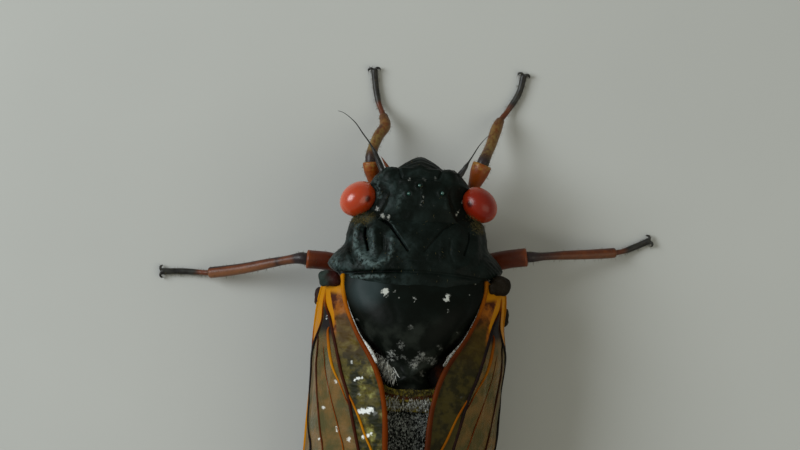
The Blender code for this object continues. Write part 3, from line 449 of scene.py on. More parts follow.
def loft(rings, **marks):
    """A closed body through rings of points, its two ends closed by fans."""
    rows, columns = rings.shape[:2]
    faces = grid_faces(rows, columns, ring=True)
    tail = (rows - 1) * columns
    for column in range(columns):
        beside = (column + 1) % columns
        faces.append((rows * columns, beside, column))
        faces.append((rows * columns + 1, tail + column, tail + beside))
    points = np.vstack([rings.reshape(-1, 3), rings[0].mean(axis=0), rings[-1].mean(axis=0)])
    spreads = {}
    for name, values in marks.items():
        values = np.broadcast_to(values, (rows, columns))
        spreads[name] = np.append(values, (values[0].mean(), values[-1].mean()))
    return Form(points, faces, **spreads)


def squared_circle(count, power, turn=FULL_TURN):
    """Cosines and sines around a super-ellipse; a higher power is squarer."""
    angles = turn * np.arange(count) / (count if turn == FULL_TURN else count - 1)
    waves = np.array((np.cos(angles), np.sin(angles)))
    return np.sign(waves) * np.abs(waves) ** (2.0 / power)


def body_rings(rows, stations, count, power, floor=None):
    """Rings of the rows' half width, top and bottom, or open arches over a flat floor."""
    if np.ndim(stations) == 0:
        stations = np.linspace(rows[0][0], rows[-1][0], stations)
    half, top, *bottom = track(rows)(stations).T[:, :, None]
    across, upward = squared_circle(count, power, FULL_TURN if floor is None else math.pi)
    if floor is None:
        up = (top + bottom[0]) / 2.0 + (top - bottom[0]) / 2.0 * upward
    else:
        up = floor + (top - floor) * np.maximum(upward, 0.0)
    along = np.repeat(np.reshape(stations, (-1, 1)), count, axis=1)
    return np.stack([half * across, along, up], axis=2)


def ball(middle, sizes, columns=32, rows=20):
    """An ellipsoid with its poles up and down."""
    polar = math.pi * (np.arange(rows)[:, None] + 0.5) / rows
    turn = FULL_TURN * np.arange(columns) / columns
    rings = np.stack([np.sin(polar) * np.cos(turn), np.sin(polar) * np.sin(turn),
                      np.cos(polar) + 0.0 * turn], axis=2)
    form = loft(middle + rings * sizes)
    form.points[-2:, 2] = middle[2] + sizes[2], middle[2] - sizes[2]
    return form


def block(middle, sizes):
    """A box-like lump with well rounded corners."""
    form = ball((0.0, 0.0, 0.0), (1.0, 1.0, 1.0), 48, 32)
    spans = (np.abs(form.points) ** 2.4).sum(axis=1) ** (1.0 / 2.4)
    form.points = form.points / spans[:, None] * sizes + middle
    return form


DOME_SIZES = np.array((0.87, 0.5))    # share of the radius at each ring of a tube's end
DOME_REACHES = np.array(((0.5,), (0.87,)))


def tube(path, radii, sides=12, bluntness=1.0, **marks):
    """A round limb along a path, closed by a dome at each end; a low bluntness flattens them."""
    path = np.asarray(path, dtype=float)
    radii = np.broadcast_to(radii, len(path)).astype(float)
    ahead = unit(np.gradient(path, axis=0))
    back, front = (ahead[end] * radii[end] * bluntness for end in (0, -1))
    middles = np.vstack([path[0] - back * DOME_REACHES[::-1], path,
                         path[-1] + front * DOME_REACHES])
    sizes = np.concatenate([radii[0] * DOME_SIZES[::-1], radii, radii[-1] * DOME_SIZES])
    headings = np.vstack([ahead[:1]] * 2 + [ahead] + [ahead[-1:]] * 2)
    side = np.cross(headings[0], (0.0, 0.0, 1.0))
    if np.linalg.norm(side) < 0.1:
        side = np.cross(headings[0], (1.0, 0.0, 0.0))
    angles = (FULL_TURN * (np.arange(sides) + 0.5) / sides)[:, None]
    rings = []
    for middle, heading, size in zip(middles, headings, sizes):
        side = unit(side - heading * np.dot(side, heading))
        rise = np.cross(side, heading)
        rings.append(middle + size * (np.cos(angles) * side + np.sin(angles) * rise))
    part = np.clip((np.arange(len(rings)) - 2.0) / (len(path) - 1.0), 0.0, 1.0)
    spreads = {name: np.interp(part, np.linspace(0.0, 1.0, np.size(values)),
                               np.atleast_1d(values))[:, None] for name, values in marks.items()}
    form = loft(np.array(rings), along=part[:, None], **spreads)
    form.points[-2:] = path[0] - back, path[-1] + front
    return form


def melted(forms, voxel, rounds):
    """Fuse overlapping forms into one smooth skin; returns it with its outward directions."""
    form = joined(forms)
    mesh = bpy.data.meshes.new("work")
    mesh.from_pydata(form.points.tolist(), [], form.faces)
    thing = put("work", mesh)
    fuse = thing.modifiers.new("fuse", "REMESH")
    fuse.mode = "VOXEL"
    fuse.voxel_size = voxel
    smooth = thing.modifiers.new("smooth", "SMOOTH")
    smooth.factor = 0.5
    smooth.iterations = rounds
    graph = bpy.context.evaluated_depsgraph_get()
    made = bpy.data.meshes.new_from_object(thing.evaluated_get(graph))
    points, normals = np.zeros((2, len(made.vertices) * 3))
    made.vertices.foreach_get("co", points)
    made.vertex_normals.foreach_get("vector", normals)
    faces = [tuple(face.vertices) for face in made.polygons]
    bpy.data.objects.remove(thing, do_unlink=True)
    bpy.data.meshes.remove(made)
    return Form(points, faces), normals.reshape(-1, 3)


class Value:
    """A socket of a finish, whose arithmetic adds Math nodes."""

    def __init__(self, finish, socket):
        self.finish = finish
        self.socket = socket

    def maths(self, operation, *values):
        """Add a Math node on one or two values."""
        return self.finish.node("ShaderNodeMath", {"operation": operation},
                                dict(enumerate(values)))

    def __add__(self, other):
        return self.maths("ADD", self, other)

    def __radd__(self, other):
        return self.maths("ADD", other, self)

    def __sub__(self, other):
        return self.maths("SUBTRACT", self, other)

    def __rsub__(self, other):
        return self.maths("SUBTRACT", other, self)

    def __mul__(self, other):
        return self.maths("MULTIPLY", self, other)

    def __rmul__(self, other):
        return self.maths("MULTIPLY", other, self)

    def __abs__(self):
        return self.maths("ABSOLUTE", self)

    def rise(self, low, high):
        """0 where the value is below low, 1 above high, smooth between."""
        return self.finish.node("ShaderNodeMapRange", {"interpolation_type": "SMOOTHSTEP"},
                                {"Value": self, "From Min": low, "From Max": high})


class Finish:
    """A material being made: node() is the one way to add a node to it."""

    def __init__(self, name):
        self.made = bpy.data.materials.new(name)
        self.made.use_nodes = True
        self.tree = self.made.node_tree
        self.tree.nodes.clear()
        metres = self.node("ShaderNodeTexCoord", output="Object")
        self.place = self.vector("MULTIPLY_ADD", metres, (1.0 / MM,) * 3, tuple(-ORIGIN / MM))

    def node(self, kind, settings=None, sockets=None, output=0):
        """Add a node: its settings come first, then its sockets' values or links."""
        node = self.tree.nodes.new(kind)
        for name, value in (settings or {}).items():
            setattr(node, name, value)
        for name, value in (sockets or {}).items():
            if isinstance(value, Value):
                self.tree.links.new(value.socket, node.inputs[name])
            else:
                node.inputs[name].default_value = value
        return Value(self, node.outputs[output]) if node.outputs else None

    def vector(self, operation, *values, output=0):
        """Add a Vector Math node."""
        return self.node("ShaderNodeVectorMath", {"operation": operation},
                         dict(enumerate(values)), output)

    def noise(self, scale, detail=3.0, roughness=0.5, place=None, output=0):
        """Cloudy values from 0 to 1; scale counts the lumps in a millimetre."""
        return self.node("ShaderNodeTexNoise", {},
                         {"Vector": place or self.place, "Scale": scale, "Detail": detail,
                          "Roughness": roughness}, output)

    def cells(self, scale):
        """Distance within cells; scale counts them in a millimetre."""
        return self.node("ShaderNodeTexVoronoi", {}, {"Vector": self.place, "Scale": scale},
                         "Distance")

    def axis(self, name):
        """One axis of the place."""
        return self.node("ShaderNodeSeparateXYZ", {}, {0: self.place}, name)

    def left(self):
        """1 on the insect's left side, 0 on its right."""
        return self.axis("X").rise(-1.0, 1.0)

    def mark(self, name):
        """A value stored on the mesh."""
        return self.node("ShaderNodeAttribute", {"attribute_name": name}, output="Fac")

    def layers(self, colour, *coats):
        """Lay coats of (share, colour) over a first colour."""
        for share, coat in coats:
            ends = [end if isinstance(end, Value) else (*end, 1.0) for end in (colour, coat)]
            colour = self.node("ShaderNodeMix", {"data_type": "RGBA"},
                               {0: share, 6: ends[0], 7: ends[1]}, 2)
        return colour

    def near(self, point, reach, place=None):
        """1 at a point, falling to 0 at its reach."""
        away = self.vector("DISTANCE", place or self.place, point, output="Value")
        return 1.0 - away.rise(reach * 0.3, reach)

    def patches(self, spots, raggedness):
        """1 inside ragged flakes given in plan as (x, along, reach, strength)."""
        shift = self.noise(3.5, 4.0, 0.7, output="Color")
        moved = self.vector("MULTIPLY_ADD", shift, (raggedness,) * 3, self.place)
        flat = self.vector("MULTIPLY", moved, (1.0, 1.0, 0.0))
        total = 0.0
        for x, along, reach, strength in spots:
            middle = (x + raggedness / 2.0, along + raggedness / 2.0, 0.0)
            total = self.near(middle, reach, flat) * strength + total
        return (total * (0.3 + 1.4 * self.noise(8.0, 3.0, 0.6))).rise(0.12, 0.9)

    def done(self, colour, roughness, bump=None, others=None):
        """End in one glossy shader; bump is (height, depth in millimetres)."""
        sockets = {"Base Color": colour, "Roughness": roughness,
                   **(SOFT if others is None else others)}
        if bump:
            sockets["Normal"] = self.node("ShaderNodeBump", {}, {
                "Height": bump[0], "Distance": bump[1] * MM, "Strength": 1.0})
        shader = self.node("ShaderNodeBsdfPrincipled", {}, sockets)
        self.node("ShaderNodeOutputMaterial", {}, {"Surface": shader})


BLACK = (0.002, 0.0038, 0.0027)
DEEP_GREEN = (0.0055, 0.0095, 0.0078)
SHEEN_BLUE_GREY = (0.055, 0.086, 0.085)
DUST = (0.06, 0.058, 0.045)
WAX = (0.55, 0.56, 0.52)
RUST = (0.1, 0.022, 0.006)
RED_BROWN = (0.085, 0.02, 0.006)
ORANGE = (0.22, 0.044, 0.003)
AMBER = (0.45, 0.175, 0.001)
OLIVE = (0.07, 0.058, 0.01)
DARK_HORN = (0.009, 0.0075, 0.007)
PLUM = (0.022, 0.013, 0.014)
LIT_EYE_RED = (0.34, 0.02, 0.004)
EYE_ORANGE = (0.7, 0.1, 0.008)
EYE_DARK = (0.03, 0.003, 0.003)
SOFT = {"Specular IOR Level": 0.08, "IOR": 1.5}

# Veins turn to each colour between two hues
VEIN_TONES = ((0.05, 0.3, (0.3, 0.075, 0.001)), (0.3, 0.5, (0.14, 0.024, 0.0005)),
              (0.5, 0.72, (0.045, 0.009, 0.003)), (0.72, 0.92, (0.009, 0.006, 0.007)))

# White flakes and painted glints: x, along, reach, strength
# the first flake, at the right eye's inner edge, is a painted highlight; the rest are white flakes
SHELL_WAX_AND_GLINT = ((-2.76, 2.56, 0.24, 1.2), (-2.3, 3.35, 0.14, 0.6), (-2.42, 3.15, 0.13, 0.7),
             (2.5, 3.26, 0.2, 0.5), (2.1, 3.62, 0.2, 0.5), (1.8, 3.74, 0.2, 0.5),
             (0.61, 1.38, 0.16, 0.35), (-0.27, 1.34, 0.14, 0.3), (-0.9, 1.3, 0.16, 0.3),
             (-0.23, 2.4, 0.14, 0.3), (-0.18, 2.65, 0.14, 0.3), (-0.12, 2.9, 0.14, 0.25))
SHIELD_WAX = ((1.72, 8.12, 0.27, 1.0), (1.68, 8.32, 0.17, 0.4), (1.2, 8.02, 0.13, 0.4),
              (-1.95, 8.18, 0.22, 0.75), (-1.93, 8.4, 0.2, 0.75), (-0.03, 8.48, 0.15, 0.7),
              (-2.08, 9.08, 0.13, 0.4), (-2.68, 10.35, 0.14, 0.5), (3.3, 9.9, 0.15, 0.4),
              (0.1, 10.1, 0.24, 0.35), (0.6, 11.2, 0.4, 0.5), (1.1, 11.85, 0.5, 0.75),
              (-0.16, 12.3, 0.5, 0.6), (-0.63, 11.8, 0.5, 0.65), (-1.33, 12.08, 0.5, 0.6),
              (-0.74, 12.82, 0.3, 0.5), (-1.3, 13.05, 0.3, 0.5), (-1.71, 11.24, 0.3, 0.4),
              (1.55, 12.35, 0.4, 0.8), (1.3, 12.75, 0.4, 0.8), (0.4, 12.0, 0.3, 0.4))
# painted white highlights on the wing skin, where the window light reflects
WING_GLINTS = ((2.86, 15.3, 0.2, 1.0), (2.62, 15.2, 0.24, 1.0), (2.38, 15.15, 0.24, 1.0),
               (2.14, 15.05, 0.2, 0.9), (2.0, 15.3, 0.25, 0.3), (2.56, 16.73, 0.16, 1.0),
               (2.34, 16.62, 0.18, 1.0), (2.12, 16.5, 0.14, 0.9), (3.22, 13.4, 0.13, 0.9),
               (3.04, 13.33, 0.15, 0.9), (2.84, 13.28, 0.13, 0.8), (3.46, 12.36, 0.16, 0.5),
               (2.3, 13.1, 0.2, 0.2), (4.36, 13.6, 0.16, 0.5), (5.03, 15.24, 0.16, 0.6),
               (4.15, 16.3, 0.11, 0.6), (4.13, 16.5, 0.11, 0.6), (3.38, 16.95, 0.2, 0.7),
               (5.2, 17.1, 0.14, 0.6), (2.93, 14.2, 0.16, 0.4), (5.15, 9.75, 0.1, 0.5),
               (5.13, 9.95, 0.08, 0.5), (-3.1, 14.1, 0.16, 0.2), (-3.7, 12.9, 0.2, 0.12))


def shell_finish():
    """Black shell with a painted blue-green sheen on its lit left side, painted highlights and
    shade on its relief, fine wrinkles and scattered pale specks.
    """
    finish = Finish("black_shell")
    clouds = finish.noise(0.9, 5.0)
    grain = finish.noise(14.0)
    wrinkles = finish.noise(3.2, 5.0, 0.6)
    breakup = finish.noise(4.5, 6.0, 0.7).rise(0.32, 0.64)
    ridge = finish.mark("ridge")
    # painted blue-grey sheen, strongest on the left side where the light falls
    left_sheen = clouds.rise(0.44, 0.68) * (0.02 + 0.5 * finish.axis("X").rise(-1.0, 3.8))
    specks = 1.0 - finish.cells(1.7).rise(0.045, 0.09)
    cheeks = finish.near((3.1, 3.75, 6.3), 0.7) + finish.near((-3.7, 4.1, 5.7), 0.6)
    colour = finish.layers(
        BLACK, (clouds.rise(0.3, 0.7), DEEP_GREEN), (left_sheen * wrinkles.rise(0.3, 0.6), SHEEN_BLUE_GREY),
        # painted blue-grey highlights along the ridges, broken up by noise
        ((ridge * breakup).rise(0.08, 0.95), (0.085, 0.122, 0.12)),
        # painted shade in the slits and the fissure, where the mark is below zero
        ((0.0 - ridge).rise(0.1, 0.6), (0.001, 0.0016, 0.0014)), (specks * 0.3, DUST),
        (cheeks * grain.rise(0.35, 0.6), (0.06, 0.045, 0.014)),
        # white flakes, the first of them a painted highlight
        (finish.patches(SHELL_WAX_AND_GLINT, 0.6), WAX))
    finish.done(colour, 0.33 + 0.22 * clouds, (wrinkles + grain * 0.2, 0.035))


def shield_finish():
    """Smooth satin black back with a painted sheen at its front left and scattered white wax near
    its front and hind ends.
    """
    finish = Finish("satin_shield")
    clouds = finish.noise(0.8, 4.0)
    grain = finish.noise(18.0, 2.0)
    flakes = finish.noise(5.5, 6.0, 0.7).rise(0.45, 0.6)
    front = 1.0 - finish.axis("Y").rise(9.2, 10.5)
    specks = 1.0 - finish.cells(0.9).rise(0.03, 0.06)
    white = finish.patches(SHIELD_WAX, 0.7) * (front + flakes * (1.0 - front)) + specks * 0.3
    colour = finish.layers(
        (0.003, 0.0042, 0.003), (clouds.rise(0.4, 0.75) * 0.5, DEEP_GREEN),
        # painted blue-grey sheen at the shield's front left, towards the light
        (finish.near((2.9, 7.9, 8.0), 1.7) * 0.6, (0.045, 0.065, 0.068)),
        (clouds.rise(0.45, 0.65) * (1.0 - front) * 0.25, (0.05, 0.056, 0.045)),
        (white * (0.55 + 0.4 * front), WAX))
    finish.done(colour, 0.34 + 0.12 * grain + 0.3 * white,
                (clouds * 0.35 + grain * 0.05 + white * 0.4, 0.05), {"Specular IOR Level": 0.06})


def belly_finish():
    """Dark brown underside with rusty edges and fine grain."""
    finish = Finish("brown_belly")
    clouds = finish.noise(0.7, 5.0)
    grain = finish.noise(14.0)
    colour = finish.layers(DARK_HORN, (clouds.rise(0.45, 0.7), RUST),
                           (grain.rise(0.55, 0.75) * 0.3, DUST))
    finish.done(colour, 0.42 + 0.2 * grain, (clouds + grain * 0.3, 0.06))


def abdomen_finish():
    """Black rings with a grey bloom, rusty hind edges below and a grain of hair pits."""
    finish = Finish("black_abdomen")
    clouds = finish.noise(1.2, 5.0)
    low = 1.0 - finish.axis("Z").rise(2.6, 4.2)
    rim = finish.mark("lip").rise(0.72, 0.95)
    colour = finish.layers(BLACK, (clouds.rise(0.4, 0.7) * 0.5, DEEP_GREEN),
                           (rim * (0.05 + 0.85 * low), RUST))
    finish.done(colour, 0.4 + 0.25 * clouds, (finish.cells(7.0) * 0.6 + clouds, 0.05))


def band_finish():
    """Olive-brown band with a thin red-brown line curving across it."""
    finish = Finish("olive_band")
    clouds = finish.noise(2.6, 5.0, 0.6)
    grain = finish.noise(12.0)
    across = finish.axis("X")
    behind = finish.axis("Y") + 0.1 * across * across - 14.35
    off_line = (abs(behind) - 0.06 * clouds).rise(0.03, 0.12)
    olive = finish.layers(DARK_HORN, (clouds.rise(0.4, 0.6), (0.42, 0.34, 0.06)),
                          (grain.rise(0.5, 0.7) * 0.5, OLIVE))
    colour = finish.layers((0.09, 0.016, 0.006), (off_line, olive))
    finish.done(colour, 0.42 + 0.25 * grain, (clouds + grain * 0.5, 0.08))


def eye_finish():
    """Glossy red-orange eye with facets, a brighter lower rim and a small dark spot; the left eye
    lighter and more orange and the right darker, as painted light and shade.
    """
    finish = Finish("faceted_eye")
    clouds = finish.noise(0.8)
    ring = 1.0 - (finish.axis("Z") + 0.3 * clouds).rise(5.2, 6.3)
    left = finish.left()
    spot = sum(finish.near(mirrored(PUPIL_PLACE, side), 0.3) for side in SIDES.values())
    # the right eye's darker red and the left eye's lit red and extra orange are painted shade and
    # light
    colour = finish.layers((0.2, 0.011, 0.003), (left, LIT_EYE_RED),
                           (0.22 * left + (0.42 + 0.25 * left) * ring, EYE_ORANGE),
                           (spot * 0.85, EYE_DARK))
    finish.done(colour, 0.2 + 0.12 * clouds, (1.0 - finish.cells(24.0), 0.005),
                {"Coat Weight": 0.3 + 0.7 * left, "Coat Roughness": 0.22, "IOR": 1.45,
                 "Specular IOR Level": 0.2, "Subsurface Weight": 0.12,
                 "Subsurface Radius": (0.3, 0.06, 0.03), "Subsurface Scale": 0.0005})


def ocellus_finish():
    """Small glassy simple eye."""
    finish = Finish("glassy_ocellus")
    clouds = finish.noise(3.0, 2.0)
    colour = finish.layers((0.01, 0.06, 0.048), (clouds, (0.02, 0.09, 0.07)))
    finish.done(colour, 0.12 + 0.1 * clouds, None, {"Coat Weight": 1.0, "Coat Roughness": 0.12})


def horn_finish():
    """Black horn of feelers, beak, feet and claws, browner in places."""
    finish = Finish("black_horn")
    clouds = finish.noise(2.4, 4.0)
    grain = finish.noise(20.0, 2.0)
    red = 1.0 - (finish.mark("along") + 0.25 * clouds).rise(0.36, 0.56)
    colour = finish.layers(DARK_HORN, (clouds.rise(0.38, 0.65) * 0.8, (0.03, 0.03, 0.026)),
                           (red * finish.mark("rusty"), (0.11, 0.026, 0.008)))
    finish.done(colour, 0.3 + 0.2 * grain, (grain * 0.4 + clouds, 0.025),
                {"Specular IOR Level": 0.35})


def leg_finish():
    """Red-brown leg shell: black joints, a painted pinkish highlight strongest on the left legs, a
    dark front line and a bright rim.
    """
    finish = Finish("brown_leg")
    clouds = finish.noise(1.6, 5.0, 0.6)
    grain = finish.noise(17.0)
    streaks = finish.noise(3.6, 4.0, 0.6)
    front = finish.mark("front")
    pale = finish.mark("pale")
    rim = finish.mark("rim")
    bright = rim + 0.9 * (streaks - 0.5)
    dark = finish.mark("dark") + 0.75 * pale * front.rise(0.55, 0.85)
    colour = finish.layers(
        RED_BROWN, (clouds.rise(0.38, 0.66), (0.15, 0.036, 0.008)),
        # pale: painted pinkish highlight on the shins' hind side, stronger on the left legs,
        # towards the light
        (pale * (1.0 - front.rise(-0.5, 0.5)), (0.2, 0.08, 0.034)),
        (finish.mark("olive") * streaks.rise(0.3, 0.6), (0.2, 0.13, 0.035)),
        (bright.rise(0.15, 0.7), ORANGE),
        (rim * clouds.rise(0.5, 0.7) * 0.7, (0.11, 0.022, 0.005)),
        (bright.rise(0.85, 1.1) * 0.8, (0.3, 0.15, 0.025)),
        (finish.mark("red"), (0.088, 0.013, 0.0035)),
        ((dark * (0.7 + 0.6 * clouds)).rise(0.1, 0.9), PLUM), (grain.rise(0.6, 0.8) * 0.15, DUST))
    finish.done(colour, 0.3 + 0.2 * grain, (streaks * 0.6 + grain * 0.25, 0.04),
                {"Coat Weight": 0.08, "Coat Roughness": 0.25, "Specular IOR Level": 0.26})


def hinge_finish():
    """Knob at the wing's root: green-black outside, dark red inside."""
    finish = Finish("wing_knob")
    clouds = finish.noise(2.2, 5.0, 0.6)
    grain = finish.noise(14.0)
    left = finish.left()
    inner = 1.0 - (finish.mark("outer") + 1.4 * (clouds - 0.5)).rise(0.1, 0.9)
    colour = finish.layers((0.009, 0.006, 0.003), (left, (0.02, 0.031, 0.026)),
                           (inner * left, (0.028, 0.005, 0.004)),
                           (grain.rise(0.55, 0.8) * 0.25, DUST))
    finish.done(colour, 0.4 + 0.25 * grain, (clouds + grain * 0.3, 0.08))


def vein_finish():
    """Wing veins from orange through red-brown to black, by the mark they carry; darker on the
    right wing as painted shade.
    """
    finish = Finish("wing_vein")
    clouds = finish.noise(1.3, 4.0, 0.6)
    grain = finish.noise(16.0)
    right = 1.0 - finish.left()
    # painted shade: the right wing's veins made darker, away from the light
    hue = finish.mark("hue") + 0.2 * (clouds - 0.5) + 0.1 * right
    tones = [(hue.rise(low, high), tone) for low, high, tone in VEIN_TONES]
    colour = finish.layers(AMBER, *tones, (0.3 * right, BLACK))
    finish.done(colour, 0.36 + 0.2 * grain, (clouds + grain * 0.3, 0.03),
                {"Specular IOR Level": 0.04})


def membrane_finish(name, clear):
    """Clear wing skin: olive hind field, taupe outer cells, orange root and black base cell, with
    painted white glints, painted light on the left and painted shade on the right.
    """
    finish = Finish(name)
    clouds = finish.noise(0.9, 5.0, 0.6)
    mottles = finish.noise(1.3, 6.0, 0.6)
    fine = finish.noise(5.0)
    pleats = finish.noise(1.1, 2.0, 0.5, finish.vector("MULTIPLY", finish.place, (0.7, 1.5, 0.7)))
    left = finish.left()
    back = finish.axis("Y").rise(10.5, 13.0)
    clavus, root, shade = (finish.mark(mark) for mark in ("clavus", "leather", "shade"))
    glint = finish.patches(WING_GLINTS, 0.5)
    taupe = finish.layers((0.22, 0.125, 0.042), (clouds.rise(0.35, 0.65), (0.1, 0.088, 0.034)))
    pale = 1.0 - (mottles + 0.3 * (fine - 0.5)).rise(0.28, 0.46)
    olive = finish.layers(
        (0.08, 0.064, 0.012),
        ((mottles + 0.5 * (clouds - 0.5)).rise(0.42, 0.6), (0.014, 0.015, 0.005)),
        # painted light: pale mottles on the left wing only, towards the light
        (pale * left * (0.2 + 0.7 * back), (0.26, 0.25, 0.07)),
        ((1.0 - back) * (0.3 + 0.5 * clouds), (0.1, 0.048, 0.005)),
        # painted shade: the right wing's hind field darkened, away from the light
        (0.55 * (1.0 - left), (0.02, 0.014, 0.004)))
    leather = finish.layers((0.3, 0.09, 0.008),
                            ((clouds + mottles).rise(0.85, 1.15), (0.05, 0.01, 0.003)))
    colour = finish.layers(taupe, (clavus, olive), (root.rise(0.0, 0.5), leather),
                           (root.rise(0.5, 0.9), AMBER), (shade, (0.014, 0.011, 0.011)),
                           # painted white highlights, also made opaque in cover
                           (glint, (0.8, 0.82, 0.8)))
    cover = clear + 0.16 * (mottles - 0.5) + (0.56 - 0.2 * back) * clavus
    cover = cover + 0.5 * root + 0.4 * shade + glint
    finish.done(colour, 0.3 + 0.2 * mottles, (pleats + fine * 0.1, 0.12),
                {"Alpha": cover.rise(0.0, 1.0), "Specular IOR Level": 0.07})


def hair_finish(name, dark, pale):
    """Fine hair, varied from tuft to tuft."""
    finish = Finish(name)
    clouds = finish.noise(8.0, 3.0, 0.65)
    colour = finish.layers(dark, (clouds.rise(0.42, 0.6), pale))
    finish.done(colour, 0.4 + 0.15 * clouds, None, {"Specular IOR Level": 0.3})


def wax_finish():
    """Chalky white wax along the shield's edge, rubbed through to dark shell in places; less white
    on the right side, as painted shade.
    """
    finish = Finish("chalk_edge")
    crumbs = finish.noise(9.0, 5.0, 0.7)
    waxy = finish.mark("waxy")
    white = (crumbs + 0.12 * waxy).rise(0.46, 0.62)
    colour = finish.layers((0.05, 0.038, 0.02),
                           # the right line's smaller waxy share is painted shade
                           (white * (0.1 + 0.72 * waxy), (0.85, 0.88, 0.86)))
    finish.done(colour, 0.45 + 0.3 * white, (crumbs, 0.08))


def floor_finish():
    """Pale matt floor with a barely seen grain."""
    finish = Finish("pale_floor")
    clouds = finish.noise(0.05, 4.0)
    colour = finish.layers((0.47, 0.475, 0.46), (clouds, (0.53, 0.535, 0.515)))
    finish.done(colour, 0.75 + 0.1 * clouds, None, {})


def make_finishes():
    """Make every finish; a piece finds its own by name."""
    for make in (shell_finish, shield_finish, belly_finish, abdomen_finish, band_finish,
                 eye_finish, ocellus_finish, horn_finish, leg_finish, hinge_finish,
                 vein_finish, wax_finish, floor_finish):
        make()
    membrane_finish("forewing_skin", 0.62)
    membrane_finish("hindwing_skin", 0.45)
    hair_finish("grey_pile", (0.004, 0.005, 0.004), (0.7, 0.73, 0.68))
    hair_finish("white_pile", (0.07, 0.06, 0.025), (0.95, 0.96, 0.9))
    hair_finish("tuft_hair", (0.55, 0.55, 0.5), (0.95, 0.97, 0.95))
    hair_finish("gold_hair", (0.03, 0.024, 0.008), (0.15, 0.12, 0.035))


def mirrored(point, side):
    """A place of the insect's left side, on either side."""
    return (point[0] * side, *point[1:])


def turned(points, angle):
    """Points turned in plan."""
    x, along, up = points.T
    cosine, sine = math.cos(angle), math.sin(angle)
    return np.column_stack([x * cosine - along * sine, along * cosine + x * sine, up])


def head_form():
    """Crown, swollen ridged face and the plates over the feelers, in one shell."""
    lobes = [ball(mirrored(LOBE_MIDDLE, side), LOBE_SIZE) for side in SIDES.values()]
    crown = loft(body_rings(HEAD_ROWS, 30, 64, HEAD_POWER))
    skin, normals = melted([crown, face_form(), *lobes], 0.06, 5)
    for side in SIDES.values():
        sink_eye(skin, side)
    x, along, up = skin.points.T
    # painted highlights along the head's ridges, kept to its upper part
    skin.marks["ridge"] = traced(x, along, HEAD_HIGHLIGHTS) * eased(up, 4.8, 5.4)
    skin.points += normals * head_relief(skin.points)[:, None]
    return skin


def face_form():
    """The swollen face, blunt and three-cornered from above."""
    form = ball(FACE_MIDDLE, FACE_SIZE, 72, 44)
    away = form.points[:, :2] - FACE_MIDDLE[:2]
    share = np.abs(away) / FACE_SIZE[:2]
    blunt = np.maximum((share ** FACE_POWER).sum(axis=1) ** (1.0 / FACE_POWER), 1e-9)
    form.points[:, :2] = FACE_MIDDLE[:2] + away * (np.hypot(*share.T) / blunt)[:, None]
    return form


def sink_eye(skin, side):
    """Sink the shell into an eye, and slope it up from the eye's rim as a shallow bowl."""
    away = turned(skin.points - mirrored(EYE_MIDDLE, side), -EYE_TURN * side) / EYE_SIZE
    plan = np.hypot(away[:, 0], away[:, 1])
    inside = EYE_SEAT * np.sqrt(np.clip(1.0 - plan ** 2, 0.0, 1.0)) - EYE_GAP
    bowl = math.sqrt(1.0 - EYE_RIM ** 2) + 0.04 + 0.95 * (plan - EYE_RIM)
    seat = EYE_MIDDLE[2] + EYE_SIZE[2] * np.where(plan < EYE_RIM, inside, bowl)
    over = (plan < 1.7) & (away[:, 2] > -1.0)
    skin.points[over, 2] = np.minimum(skin.points[:, 2], seat)[over]


def head_relief(points):
    """Height of the sutures, swellings and grain of the head over its smooth form."""
    x, along, up = points.T
    side = np.abs(x)
    folds = traced(side, along, HEAD_FOLDS)
    folds += 0.025 * hump(from_line(x, along, *HEAD_MIDLINE), 0.05)
    for place in OCELLI:
        folds += 0.05 * hump(from_line(x, along, place) - 0.22, 0.07)
    lift = folds * eased(up, 5.3, 6.0)
    lift -= 0.14 * hump(from_line(side, along, *HEAD_SUTURE), 0.075) * eased(up, 4.6, 5.4)
    angle = np.arctan2(up - FACE_MIDDLE[2], FACE_MIDDLE[1] - along)
    front = eased(-along, -1.2, -0.9) * (1.0 - eased(side, 1.1, 1.4)) * (1.0 - 0.7 * hump(x, 0.18))
    lift += 0.018 * np.cos(angle * FACE_RIDGES) * front * (1.0 - 0.8 * eased(up, 5.6, 6.1))
    return lift + rough(points, (0.016, 0.3, 3), (0.03, 0.8, 4))


def eye_form(side):
    """One eye: a turned oval ball."""
    form = ball((0.0, 0.0, 0.0), EYE_SIZE, 96, 60)
    form.points = turned(form.points, EYE_TURN * side) + mirrored(EYE_MIDDLE, side)
    return form


def build_head():
    """Head shell, eyes, simple eyes, feelers and beak."""
    piece("head_shell", head_form(), "black_shell", ("head",))
    for name, side in SIDES.items():
        piece("eye_" + name + "_ball", eye_form(side), "faceted_eye", ("eye_" + name,))
    ocelli = joined([ball(place, OCELLUS_SIZE, 24, 14) for place in OCELLI])
    piece("ocelli", ocelli, "glassy_ocellus")
    radii = spread(FEELER_RADII, 90)
    radii[:34] *= 1.0 + 0.06 * np.sin(np.linspace(0.0, 5.0 * math.pi, 34))
    for name, points in FEELER_PATHS.items():
        piece("feeler_" + name, tube(smooth_path(points, 90), radii, 14), "black_horn",
              ("antenna_" + name,))
    radii = spread(BEAK_RADII, 80)
    for joint in BEAK_JOINTS:
        radii *= 1.0 - 0.18 * hump(np.linspace(0.0, 1.0, 80) - joint, 0.015)
    piece("beak_sheath", tube(smooth_path(BEAK_PATH, 80), radii, 20), "black_horn",
          ("beak",))


